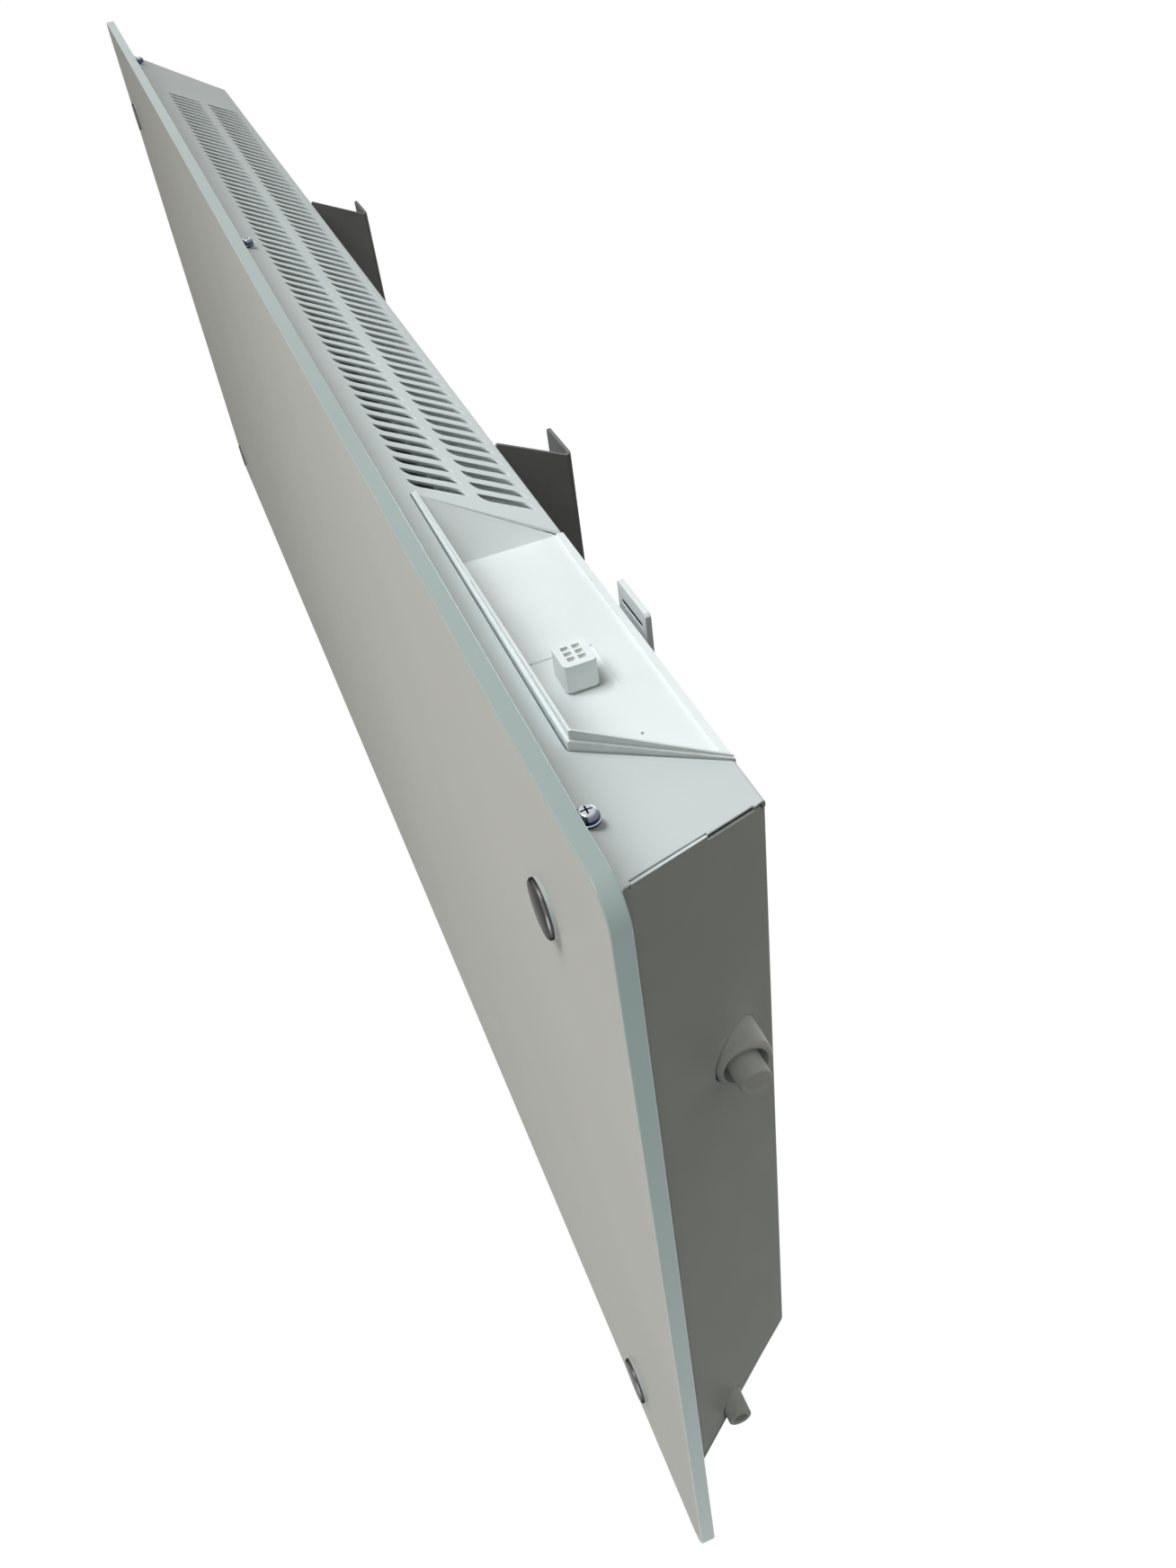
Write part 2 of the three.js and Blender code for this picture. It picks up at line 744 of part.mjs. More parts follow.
function addCasingScrews() {
  for (const [side, x] of [['right', screwX], ['left', -screwX]]) {
    casingScrewHeights.forEach((z, i) => {
      const name = `casing_screw_${side}_${i === 0 ? 'upper' : 'lower'}`;
      const seat = casingRear + clearance;
      const profile = [
        point(0, seat + smallHeadHeight), point(smallHead * Math.SQRT1_2, seat + smallHeadHeight),
        point(smallHead, seat + smallHeadHeight / 2), point(smallHead, seat), point(smallShank, seat),
        point(smallShank, seat - smallShankLength), point(0, seat - smallShankLength),
      ];
      piece(name, turned('y', profile, at(x, 0, z), smallSides), zincSteel);
    });
  }
}

// Control tray: a floor, a ramp at its far end, a raised front and near rim and a low lip at the rear
function addTray() {
  const plan = prism('z', trayPlan(0, casingRear), trayFloor - trayWall, casingTop + overrun);
  const low = trayFloor - trayWall;
  const left = trayFarFront - overrun;
  const floor = box(left, trayRight, trayFront, casingRear, low, trayFloor);
  const rampTop = roofAt(trayFront);
  const ramp = prism('y', [
    point(trayFold, low), point(trayFold, trayFloor), point(trayFarFront, rampTop),
    point(trayFarFront, low),
  ], trayFront, casingRear);
  const frontWall = (inset, width, near, end) => prism('y', [
    point(trayFarFront, low), point(trayRight - inset, low),
    point(trayRight - inset, roofAt(trayFront) + near), point(trayFarFront, roofAt(trayFront) + end),
  ], trayFront + inset, trayFront + inset + width);
  const nearWall = (inset, width, near, end) => prism('x', [
    point(trayFront + inset, low), point(trayFront + inset, roofAt(trayFront) + near),
    point(trayFront + inset + width, roofAt(trayFront) + near),
    point(casingRear, roofAt(casingRear) + end), point(casingRear, low),
  ], trayRight - inset - width, trayRight - inset);
  const walls = [
    frontWall(0, trayLedgeWidth, trayLedgeNear, trayLedgeFar),
    frontWall(trayLedgeWidth, trayRimWidth, trayRimNear, trayRimFar),
    nearWall(0, trayLedgeWidth, trayLedgeNear, trayLedgeEnd),
    nearWall(trayLedgeWidth, trayRimWidth, trayRimNear, trayRimEnd),
  ];
  const lip = box(left, trayRight, casingRear - trayLipDepth, casingRear, low, trayFloor + trayLipHeight);
  const tray = join(floor, ramp, ...walls, lip).intersect(plan);
  const windowX = contactPitchX + contactSlotX / 2 + 2 * clearance;
  const windowY = contactPitchY / 2 + contactSlotY / 2 + 2 * clearance;
  const { x, y } = socketCentre;
  const window = box(x - windowX, x + windowX, y - windowY, y + windowY, low - overrun, trayFloor + overrun);
  const outerCorner = cornerRelief(trayRight, trayFront);
  piece('control_tray', cut(tray, window, outerCorner), plasticWhite);
}

// Rounds the upright corner of the tray that stands nearest to the end of the radiator.
function cornerRelief(x, y) {
  const radius = trayLedgeWidth / 2;
  const corner = box(
    x - radius, x + radius, y - radius, y + radius, trayFloor - overrun, casingTop + overrun);
  const round = rod('z', radius, trayFloor - 2 * overrun, casingTop + 2 * overrun,
    at(x - radius, y + radius, 0), smallSides);
  return corner.subtract(round);
}

function contactPlaces() {
  const places = [];
  for (const column of [-1, 0, 1]) {
    for (const row of [-1, 1]) {
      places.push(point(socketCentre.x + column * contactPitchX, socketCentre.y + row * contactPitchY / 2));
    }
  }
  return places;
}

function addSocket() {
  const { x, y } = socketCentre;
  const halfX = socketLength / 2;
  const halfY = socketDepth / 2;
  const seat = trayFloor + clearance;
  const top = seat + socketHeight;
  const outline = roundedRectangle(x - halfX, x + halfX, y - halfY, y + halfY, socketCorner, 2);
  const block = prism('z', outline, seat, top);
  const pocket = box(x - halfX + socketWall, x + halfX - socketWall, y - halfY + socketWall,
    y + halfY - socketWall, seat - overrun, top - socketTop);
  const slots = contactPlaces().map((place) => box(place.x - contactSlotX / 2, place.x + contactSlotX / 2,
    place.y - contactSlotY / 2, place.y + contactSlotY / 2, seat, top + overrun));
  piece('socket_block', cut(block, pocket, ...slots), plasticWhite);
  const baseX = contactPitchX + contactSlotX / 2 + clearance;
  const baseY = contactPitchY / 2 + contactSlotY / 2 + clearance;
  const baseTop = trayFloor - trayWall + contactBase;
  const base = box(x - baseX, x + baseX, y - baseY, y + baseY, trayFloor - trayWall, baseTop);
  const blades = contactPlaces().map((place) => box(
    place.x - contactSlotX / 2 + clearance, place.x + contactSlotX / 2 - clearance,
    place.y - contactSlotY / 2 + clearance, place.y + contactSlotY / 2 - clearance,
    baseTop - clearance, top - socketTop + contactReach));
  piece('socket_contacts', join(base, ...blades), brass);
}

// Catch behind the tray: a slotted plate on a pin between two ears of a bracket
function addCatch() {
  const half = catchWidth / 2;
  const left = catchCentre - half;
  const right = catchCentre + half;
  const slotZ = catchTop - catchSlotDrop;
  const plate = prism('y', roundedRectangle(left, right, catchPivot, catchTop, catchPlate / 2, 1),
    catchY - catchPlate / 2, catchY + catchPlate / 2, [[
      point(catchCentre - catchSlotLength / 2, slotZ - catchSlotHeight / 2),
      point(catchCentre + catchSlotLength / 2, slotZ - catchSlotHeight / 2),
      point(catchCentre + catchSlotLength / 2, slotZ + catchSlotHeight / 2),
      point(catchCentre - catchSlotLength / 2, slotZ + catchSlotHeight / 2),
    ]]);
  const pivot = at(0, catchY, catchPivot);
  const hub = rod('x', catchHub, left, right, pivot);
  const bore = rod('x', catchPin + clearance, left - overrun, right + overrun, pivot);
  piece('module_catch', cut(join(plate, hub), bore), plasticWhite);
  const earLeft = left - catchEarGap;
  const earRight = right + catchEarGap;
  const base = panelRear + clearance;
  const low = catchPivot - catchEarHeight / 2;
  const high = catchPivot + catchEarHeight / 2;
  const bracket = join(
    box(earLeft - catchEar, earRight + catchEar, base, base + catchEar, low, high),
    box(earLeft - catchEar, earLeft, base, base + catchEarReach, low, high),
    box(earRight, earRight + catchEar, base, base + catchEarReach, low, high));
  piece('catch_bracket', cut(bracket, rod('x', catchPin + clearance, left - overrun, right + overrun, pivot)),
    zincSteel);
  piece('catch_pin', rod('x', catchPin, earLeft - catchEar, earRight + catchEar, pivot), zincSteel);
}

// Switch: a collar through the end panel, the button in it and the body behind it
function addSwitch() {
  const axis = at(0, switchY, switchZ);
  const chamberEnd = buttonBack + buttonFlange + clearance;
  const collar = turned('x', [
    point(buttonStemRadius + clearance, collarBack), point(collarRadius, collarBack),
    point(collarRadius, collarMouth - collarRounding), point(collarMouthRadius, collarMouth),
    point(collarBore, collarMouth), point(collarBore, chamberEnd), point(collarChamber, chamberEnd),
    point(collarChamber, collarBack + collarBackWall),
    point(buttonStemRadius + clearance, collarBack + collarBackWall),
    point(buttonStemRadius + clearance, collarBack),
  ], axis, roundSides);
  piece('switch_collar', collar, plasticWhite);
  const flangeRadius = collarChamber - clearance;
  const button = turned('x', [
    point(0, buttonBack - buttonStemLength), point(buttonStemRadius, buttonBack - buttonStemLength),
    point(buttonStemRadius, buttonBack), point(flangeRadius, buttonBack),
    point(flangeRadius, buttonBack + buttonFlange), point(buttonRadius, buttonBack + buttonFlange),
    point(buttonRadius, buttonEnd - buttonEdge), point(buttonRadius - buttonEdge, buttonEnd),
    point(0, buttonEnd),
  ], axis, roundSides);
  piece('switch_button', button, plasticWhite);
  const bodyRight = collarBack - clearance;
  const body = box(bodyRight - switchBodyLength, bodyRight, switchY - switchBodyWidth / 2,
    switchY + switchBodyWidth / 2, switchZ - switchBodyHeight / 2, switchZ + switchBodyHeight / 2);
  const stemRoom = buttonBack - buttonStemLength - buttonTravel - 2 * clearance;
  const bore = rod('x', buttonStemRadius + clearance, stemRoom, bodyRight + overrun, axis);
  piece('switch_body', cut(body, bore), plasticBlack);
}

function addBush() {
  const profile = [
    point(bushBore, bushEnd - bushLength), point(bushRadius, bushEnd - bushLength),
    point(bushRadius, bushEnd - bushEdge), point(bushRadius - bushEdge, bushEnd),
    point(bushBore, bushEnd), point(bushBore, bushEnd - bushLength),
  ];
  piece('cord_bush', turned('x', profile, at(0, bushY, bushZ), roundSides), plasticWhite);
}

// Heating element: an X-shaped finned bar on round ends, in insulators on two folded holders
function addElement() {
  const axis = at(0, elementY, elementZ);
  const fin = (tilt) => {
    const outline = [
      point(-elementFin / 2, -elementFinSpan / 2), point(elementFin / 2, -elementFinSpan / 2),
      point(elementFin / 2, elementFinSpan / 2), point(-elementFin / 2, elementFinSpan / 2),
    ].map((corner) => corner.rotateAround(point(0, 0), tilt).add(point(elementY, elementZ)));
    return prism('x', outline, elementLeft, elementRight);
  };
  const core = rod('x', elementCore, elementLeft, elementRight, axis);
  const stubs = rod(
    'x', elementStub, elementLeft - elementStubLength, elementRight + elementStubLength, axis);
  piece('heating_element', join(fin(elementFinTilt), fin(-elementFinTilt), core, stubs), aluminium);
  for (const [side, x, foot] of [['right', elementRight + holderSetback, 1],
    ['left', elementLeft - holderSetback, -1]]) {
    const low = casingBottom + sheet + clearance;
    const front = insideFront + holderMargin;
    const rear = shieldFront - holderMargin;
    const footEnd = x + foot * holderFoot;
    const upright = box(
      x - holderSheet / 2, x + holderSheet / 2, front, rear, low, elementZ + holderRise);
    const footPlate = box(Math.min(x, footEnd), Math.max(x, footEnd), front, rear, low, low + holderSheet);
    const hole = rod('x', insulatorRadius + clearance, x - overrun, x + overrun, axis, roundSides);
    piece(`element_holder_${side}`, cut(join(upright, footPlate), hole), zincSteel);
    const insulator = ring('x', elementStub + clearance, insulatorRadius,
      x - insulatorLength / 2, x + insulatorLength / 2, axis);
    piece(`element_insulator_${side}`, insulator, ceramic);
  }
}

function addShield() {
  const corners = [
    point(insideRear, shieldBottom), point(shieldFront, shieldBottom), point(shieldFront, shieldTop),
    point(insideRear, shieldTop),
  ];
  const outline = sheetOutline(corners, [panelBendRadius, panelBendRadius], sheet);
  piece('heat_shield', prism('x', outline, elementLeft, elementRight), aluminium);
  const seat = shieldFront - clearance;
  const centre = at(elementRight - cutoutInset, 0, shieldTop - cutoutDrop);
  piece('thermal_cutout', rod('y', cutoutRadius, seat - cutoutDepth, seat, centre, roundSides), plasticBlack);
}

function addTerminals() {
  const { x, y: z } = terminalCentre;
  const front = insideRear - terminalDepth;
  const block = box(x - terminalLength / 2, x + terminalLength / 2, front, insideRear,
    z - terminalHeight / 2, z + terminalHeight / 2);
  const holes = [];
  for (let i = 0; i < terminalHoleCount; i += 1) {
    const holeX = x + (i - (terminalHoleCount - 1) / 2) * terminalLength / terminalHoleCount;
    holes.push(rod('y', terminalHole, front - overrun, front + terminalDepth / 2, at(holeX, 0, z)));
  }
  piece('terminal_block', cut(block, ...holes), plasticBlack);
  piece('earth_screw', screwSolid(earthPlace, insideRear, smallHead, smallHeadHeight, smallShank,
    insideRear + smallShankLength / 2), brass);
}

// Inside leads, each along a hand-laid route from one terminal to the next
function lead(name, route, radius, material) {
  const path = new THREE.CatmullRomCurve3(route);
  const section = new THREE.Shape(circle(0, 0, radius, leadSides));
  const options = { steps: leadSteps, extrudePath: path, bevelEnabled: false };
  piece(name, toSolid(new THREE.ExtrudeGeometry(section, options)), material);
}

function addLeads() {
  const bushInner = bushEnd - bushLength - clearance;
  const terminalY = insideRear - terminalDepth / 2;
  const terminalRight = terminalCentre.x + terminalLength / 2 + clearance;
  const terminalLeft = terminalCentre.x - terminalLength / 2 - clearance;
  const terminalZ = terminalCentre.y;
  const terminalTop = terminalZ + terminalHeight / 2 + clearance;
  const bodyX = collarBack - clearance - switchBodyLength / 2;
  const bodyBottom = switchZ - switchBodyHeight / 2 - clearance;
  const elementEnd = elementRight + elementStubLength + clearance;
  const midway = (a, b, share) => a + (b - a) * share;
  const [nearShare, middleShare, farShare] = [0.3, 0.5, 0.7];
  lead('lead_supply', [
    at(bushInner, bushY, bushZ), at(bushInner - leadFoot, bushY, bushZ),
    at(midway(bushInner, terminalRight, middleShare), midway(bushY, terminalY, middleShare),
      midway(bushZ, terminalZ, middleShare)),
    at(terminalRight + leadFoot, terminalY, terminalZ), at(terminalRight, terminalY, terminalZ),
  ], supplyLeadRadius, plasticWhite);
  lead('lead_switch', [
    at(terminalCentre.x, terminalY, terminalTop), at(terminalCentre.x, terminalY, terminalTop + leadFoot),
    at(midway(terminalCentre.x, bodyX, nearShare), midway(terminalY, switchY, nearShare),
      midway(terminalTop, bodyBottom, middleShare)),
    at(midway(terminalCentre.x, bodyX, farShare), midway(terminalY, switchY, farShare),
      midway(terminalTop, bodyBottom, farShare)),
    at(bodyX, switchY, bodyBottom - leadFoot), at(bodyX, switchY, bodyBottom),
  ], innerLeadRadius, plasticWhite);
  lead('lead_element', [
    at(terminalLeft, terminalY, terminalZ), at(terminalLeft - leadFoot, terminalY, terminalZ),
    at(midway(terminalLeft, elementEnd, middleShare), midway(terminalY, elementY, middleShare),
      midway(terminalZ, elementZ, middleShare)),
    at(elementEnd + leadFoot, elementY, elementZ), at(elementEnd, elementY, elementZ),
  ], innerLeadRadius, plasticWhite);
}

// Wall bracket: two equal angle-shaped arms with hooks, tied by a rail whose ends step over their webs
function hookSolid(height) {
  const root = armFront + hookThickness;
  const tip = insideRear - hookNoseDepth;
  const low = height - hookThickness;
  const outline = [
    point(root, low), point(root, height), point(insideRear, height),
    point(insideRear, height + hookNose), point(tip, height + hookNose), point(tip, low),
  ];
  return prism('x', outline, armX - bracketSheet, armX);
}

function armSolid() {
  const corners = [point(armX - webWidth, 0), point(armX, 0), point(armX, armFront)];
  const outline = sheetOutline(corners, [bracketBend], bracketSheet);
  const webTop = roofAt(0) + webRise;
  const arm = prism('z', outline, armBottom, webTop);
  const slopeEnd = armFront - overrun;
  const slopeTop = roofAt(slopeEnd) + overrun;
  const slopeCut = prism('x', [
    point(-bracketSheet, roofAt(-bracketSheet)), point(-bracketSheet, slopeTop),
    point(slopeEnd, slopeTop), point(slopeEnd, roofAt(slopeEnd)),
  ], armX - webWidth - overrun, armX + overrun);
  const trimmed = arm.subtract(slopeCut);
  const hooks = hookHeights.map(hookSolid);
  const screwPlace = armX - webWidth / 2;
  const holes = [0, wallScrewHeight].map((z) => rod(
    'y', wallScrewShank + clearance, -overrun / 2, overrun, at(screwPlace, 0, z)));
  return cut(join(trimmed, ...hooks), ...holes);
}

function addBracket() {
  const arm = armSolid();
  const endY = -bracketSheet - clearance;
  const notchHalf = railHeight / 2 + clearance;
  const notch = box(
    farArmX - bracketSheet - bracketBend, farArmX + clearance,
    endY - bracketSheet - clearance, -bracketSheet, -notchHalf, notchHalf);
  piece('bracket_arm_right', arm, bracketSteel);
  piece('bracket_arm_left', cut(arm.translate([-bracketSpan, 0, 0]), notch), bracketSteel);
  const farEnd = farArmX - railOverlap;
  const farStep = farArmX + 2 * clearance;
  const nearStep = armX - webWidth - 2 * clearance;
  const nearEnd = armX - webWidth + railOverlap;
  const corners = [
    point(farEnd, endY), point(farStep, endY), point(farStep + joggleRun, 0),
    point(nearStep - joggleRun, 0), point(nearStep, endY), point(nearEnd, endY),
  ];
  const radii = corners.slice(2).map(() => joggleRadius);
  const rail = prism('z', sheetOutline(corners, radii, bracketSheet), -railHeight / 2, railHeight / 2);
  const nearScrew = armX - webWidth / 2;
  const screwXs = [['right', nearScrew], ['left', nearScrew - bracketSpan]];
  const holes = screwXs.map(([, x]) => rod(
    'y', wallScrewShank + clearance, -overrun, overrun, at(x, 0, 0)));
  piece('bracket_rail', cut(rail, ...holes), bracketSteel);
  for (const [side, x] of screwXs) {
    for (const [level, z, seat] of [['upper', wallScrewHeight, -bracketSheet - clearance],
      ['lower', 0, endY - bracketSheet - clearance]]) {
      piece(`wall_screw_${side}_${level}`, screwSolid(point(x, z), seat, wallScrewHead,
        wallScrewHeadHeight, wallScrewShank, -clearance), zincSteel);
    }
  }
}

function addBuffers() {
  for (const [side, x] of [['right', hookXs[0]], ['left', hookXs[1]]]) {
    const seat = panelRear + clearance;
    const face = armFront - clearance;
    const profile = [
      point(0, face), point(bufferRadius, face), point(bufferRadius, seat), point(bufferStem, seat),
      point(bufferStem, panelRear - bufferDepth), point(0, panelRear - bufferDepth),
    ];
    piece(`rear_buffer_${side}`, turned('y', profile, at(x, 0, bufferHeight), smallSides), rubber);
  }
}

const caps = addGlass();
addTopCover();
addDomeScrews();
addEndPanels();
addFrontPlate(caps);
addRearPanel();
addBottomPanel();
addCasingScrews();
addTray();
addSocket();
addCatch();
addSwitch();
addBush();
addElement();
addShield();
addTerminals();
addLeads();
addBracket();
addBuffers();

export default radiator;
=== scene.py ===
"""Looks of a wall-hung electric panel radiator with a glass front.

Lengths are in millimetres, in the frame of the part: the origin is on the wall, at mid length and mid
height of the glass, +X runs to the end with the switch, +Y to the wall and +Z up.
"""
import logging
import math
from dataclasses import dataclass
from enum import Enum
from typing import Optional, Sequence

import bmesh
import bpy
from mathutils import Matrix, Vector
from mathutils.geometry import delaunay_2d_cdt


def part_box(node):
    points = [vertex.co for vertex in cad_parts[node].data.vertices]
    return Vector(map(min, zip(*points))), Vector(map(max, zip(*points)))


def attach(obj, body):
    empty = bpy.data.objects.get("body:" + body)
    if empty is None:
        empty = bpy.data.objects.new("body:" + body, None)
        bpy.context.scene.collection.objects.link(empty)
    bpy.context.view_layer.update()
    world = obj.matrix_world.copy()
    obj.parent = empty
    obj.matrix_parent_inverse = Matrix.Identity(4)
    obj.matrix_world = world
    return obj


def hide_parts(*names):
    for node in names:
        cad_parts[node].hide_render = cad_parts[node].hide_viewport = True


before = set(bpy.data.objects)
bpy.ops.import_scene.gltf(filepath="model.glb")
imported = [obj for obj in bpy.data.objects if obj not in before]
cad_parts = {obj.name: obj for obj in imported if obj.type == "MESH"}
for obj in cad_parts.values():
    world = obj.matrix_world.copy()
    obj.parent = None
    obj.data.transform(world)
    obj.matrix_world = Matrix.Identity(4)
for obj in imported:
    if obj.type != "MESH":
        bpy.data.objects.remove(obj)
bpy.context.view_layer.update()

LOG = logging.getLogger("radiator")

MM = 0.001
WELD = 0.002 * MM
RIM_WELD = 4 * WELD
TINY = 1e-4
OVERRUN = 1.0
REACH_SHARE = 0.49
EDGE_STEPS = 3
EDGE_NORMAL = "edge_normal"
CLOUD_RANGE = (0.3, 0.7)
SRGB_KNEE = 0.04045
SRGB_SLOPE = 12.92
SRGB_SHIFT = 0.055
SRGB_POWER = 2.4

Flat = tuple[float, float]
Triple = tuple[float, float, float]
Loop = list[Flat]
Object = bpy.types.Object
Material = bpy.types.Material
Tree = bpy.types.NodeTree
Node = bpy.types.Node
Socket = bpy.types.NodeSocket
Mesh = bmesh.types.BMesh


class Axis(Enum):
    """An axis of the part's frame."""

    X = "x"
    Y = "y"
    Z = "z"


class Join(Enum):
    """What a boolean does with its tools."""

    CUT = "DIFFERENCE"
    FUSE = "UNION"


# Nodes, colours and meshes

def linear(code: str) -> tuple[float, float, float, float]:
    """Turns an sRGB colour into the linear one that a shader takes.

    Args:
        code: The colour as six hex digits after a hash.

    Returns:
        Linear red, green, blue and an alpha of 1.
    """
    channels = [int(code[i:i + 2], 16) / 255 for i in (1, 3, 5)]
    red, green, blue = (c / SRGB_SLOPE if c <= SRGB_KNEE
                        else ((c + SRGB_SHIFT) / (1 + SRGB_SHIFT)) ** SRGB_POWER for c in channels)
    return red, green, blue, 1.0


def add_node(tree: Tree, kind: str, settings: Optional[dict] = None, links: Optional[dict] = None) -> Node:
    """Adds one node to a shader or geometry tree.

    Args:
        tree: The tree that takes the node.
        kind: The node's type name.
        settings: Attributes of the node, or values of its inputs where no attribute has that name.
        links: For each input, by name or number, the output socket that feeds it.

    Returns:
        The new node.
    """
    node = tree.nodes.new(kind)
    for key, value in (settings or {}).items():
        if isinstance(key, str) and hasattr(node, key):
            setattr(node, key, value)
        else:
            node.inputs[key].default_value = value
    for key, socket in (links or {}).items():
        tree.links.new(socket, node.inputs[key])
    return node


def empty_tree(owner: Material | bpy.types.World) -> Tree:
    """Gives a material or a world an empty node tree.

    Args:
        owner: The material or the world.

    Returns:
        Its tree.
    """
    owner.use_nodes = True
    owner.node_tree.nodes.clear()
    return owner.node_tree


def link_object(name: str, data: bpy.types.ID) -> Object:
    """Puts a mesh, a light or a camera into the scene.

    Args:
        name: Name of the object.
        data: What it shows; a mesh is in metres.

    Returns:
        The new object, at the origin.
    """
    obj = bpy.data.objects.new(name, data)
    bpy.context.scene.collection.objects.link(obj)
    return obj


def mesh_object(name: str, bm: Mesh) -> Object:
    """Makes an object of a finished mesh under edit, which it frees.

    Args:
        name: Name of the object and of its mesh.
        bm: The mesh under edit.

    Returns:
        The new object.
    """
    mesh = bpy.data.meshes.new(name)
    bm.to_mesh(mesh)
    bm.free()
    return link_object(name, mesh)


def merged(mesh: bpy.types.Mesh) -> Mesh:
    """Opens a mesh for editing, with its doubles merged.

    Args:
        mesh: The mesh, which stays as it is.

    Returns:
        The mesh under edit.
    """
    bm = bmesh.new()
    bm.from_mesh(mesh)
    bmesh.ops.remove_doubles(bm, verts=bm.verts, dist=WELD)
    return bm


def apply_modifiers(obj: Object) -> Object:
    """Replaces an object's mesh by what its modifiers make, and removes them.

    Args:
        obj: The object with live modifiers.

    Returns:
        The same object with a plain mesh.
    """
    bpy.context.view_layer.update()
    graph = bpy.context.evaluated_depsgraph_get()
    mesh = bpy.data.meshes.new_from_object(
        obj.evaluated_get(graph), preserve_all_data_layers=True, depsgraph=graph)
    obj.modifiers.clear()
    obj.data = mesh
    mesh.name = obj.name
    return obj


def drop(*objects: Object) -> None:
    """Deletes helper objects once the meshes made from them are plain."""
    for obj in objects:
        bpy.data.objects.remove(obj, do_unlink=True)


def shade(obj: Object, angle: float = 35.0) -> Object:
    """Shades a mesh smooth with sharp edges.

    Args:
        obj: The object.
        angle: Faces that meet at more than this, in degrees, keep a sharp edge.

    Returns:
        The same object.
    """
    obj.data.polygons.foreach_set("use_smooth", [True] * len(obj.data.polygons))
    obj.data.set_sharp_from_angle(angle=math.radians(angle))
    return obj


def boolean(obj: Object, join: Join, *tools: Object) -> Object:
    """Cuts tools from an object or fuses them with it, and deletes the tools.

    Args:
        obj: The object that changes.
        join: Whether the tools are cut or fused.
        tools: Closed meshes.

    Returns:
        The object with a plain mesh.
    """
    for tool in tools:
        modifier = obj.modifiers.new("tool", "BOOLEAN")
        modifier.object = tool
        modifier.operation = join.value
        modifier.solver = "EXACT"
    apply_modifiers(obj)
    drop(*tools)
    return obj


def rounded(obj: Object, width: float, segments: int = 2) -> Object:
    """Rounds the sharp edges of a mesh.

    Args:
        obj: The object to round.
        width: Width of the rounding.
        segments: Faces across each rounding.

    Returns:
        The object with a plain, smooth-shaded mesh.
    """
    bm = merged(obj.data)
    bmesh.ops.dissolve_limit(bm, angle_limit=math.radians(1), verts=bm.verts, edges=bm.edges)
    bm.to_mesh(obj.data)
    bm.free()
    modifier = obj.modifiers.new("rounding", "BEVEL")
    modifier.width = width * MM
    modifier.segments = segments
    modifier.limit_method = "ANGLE"
    modifier.angle_limit = math.radians(30)
    return weigh_normals(apply_modifiers(obj))


def weigh_normals(obj: Object) -> Object:
    """Lets the large flat faces of a smooth mesh keep their own direction next to its small roundings.

    Args:
        obj: The object.

    Returns:
        The same object with a plain mesh.
    """
    shade(obj, angle=45)
    modifier = obj.modifiers.new("flats", "WEIGHTED_NORMAL")
    modifier.keep_sharp = True
    modifier.weight = 100
    return apply_modifiers(obj)


def node_copy(node: str, name: str) -> Object:
    """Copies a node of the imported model, with its doubles merged, as the start of a finer piece."""
    return mesh_object(name, merged(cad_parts[node].data))


def span(node: str, axis: Axis) -> Flat:
    """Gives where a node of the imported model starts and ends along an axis."""
    low, high = (getattr(corner, axis.value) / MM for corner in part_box(node))
    return low, high


def box_object(name: str, low: Sequence[float], high: Sequence[float]) -> Object:
    """Makes a box.

    Args:
        name: Name of the object.
        low: Its corner with the least coordinates.
        high: The opposite corner.

    Returns:
        The new object.
    """
    bm = bmesh.new()
    bmesh.ops.create_cube(bm, size=1)
    for vertex in bm.verts:
        vertex.co = [(high[i] if vertex.co[i] > 0 else low[i]) * MM for i in range(3)]
    return mesh_object(name, bm)


# Outlines

def rectangle(left: float, low: float, right: float, high: float) -> Loop:
    """Draws a rectangle, anticlockwise from its lower left corner."""
    return [(left, low), (right, low), (right, high), (left, high)]


def ellipse(x: float, y: float, half_x: float, half_y: float, sides: int) -> Loop:
    """Draws an ellipse, anticlockwise from its rightmost point."""
    turns = [2 * math.pi * i / sides for i in range(sides)]
    return [(x + half_x * math.cos(turn), y + half_y * math.sin(turn)) for turn in turns]


def circle(x: float, y: float, radius: float, sides: int) -> Loop:
    """Draws a circle, anticlockwise from its rightmost point."""
    return ellipse(x, y, radius, radius, sides)


def signed_area(loop: Loop) -> float:
    """Gives the area of a loop, which is positive where it runs anticlockwise."""
    return sum(a[0] * b[1] - b[0] * a[1] for a, b in zip(loop, loop[1:] + loop[:1])) / 2


def corner_arc(before: Vector, here: Vector, after: Vector, radius: float, steps: int) -> Loop:
    """Rounds one corner.

    Args:
        before: The corner before it.
        here: The corner.
        after: The corner after it.
        radius: Radius of the rounding, which is made smaller where the sides are too short for it.
        steps: Segments in the rounding.

    Returns:
        The points of the arc, or the corner itself where it stays sharp.
    """
    to_before, to_after = (before - here).normalized(), (after - here).normalized()
    half = to_before.angle(to_after) / 2
    shortest = min((before - here).length, (after - here).length)
    reach = min(radius / math.tan(half), shortest * REACH_SHARE)
    if reach < TINY:
        return [tuple(here)]
    arc = reach * math.tan(half)
    centre = here + (to_before + to_after).normalized() * (arc / math.sin(half))
    start, end = here + to_before * reach - centre, here + to_after * reach - centre
    return [tuple(centre + start.slerp(end, k / steps).normalized() * arc) for k in range(steps + 1)]


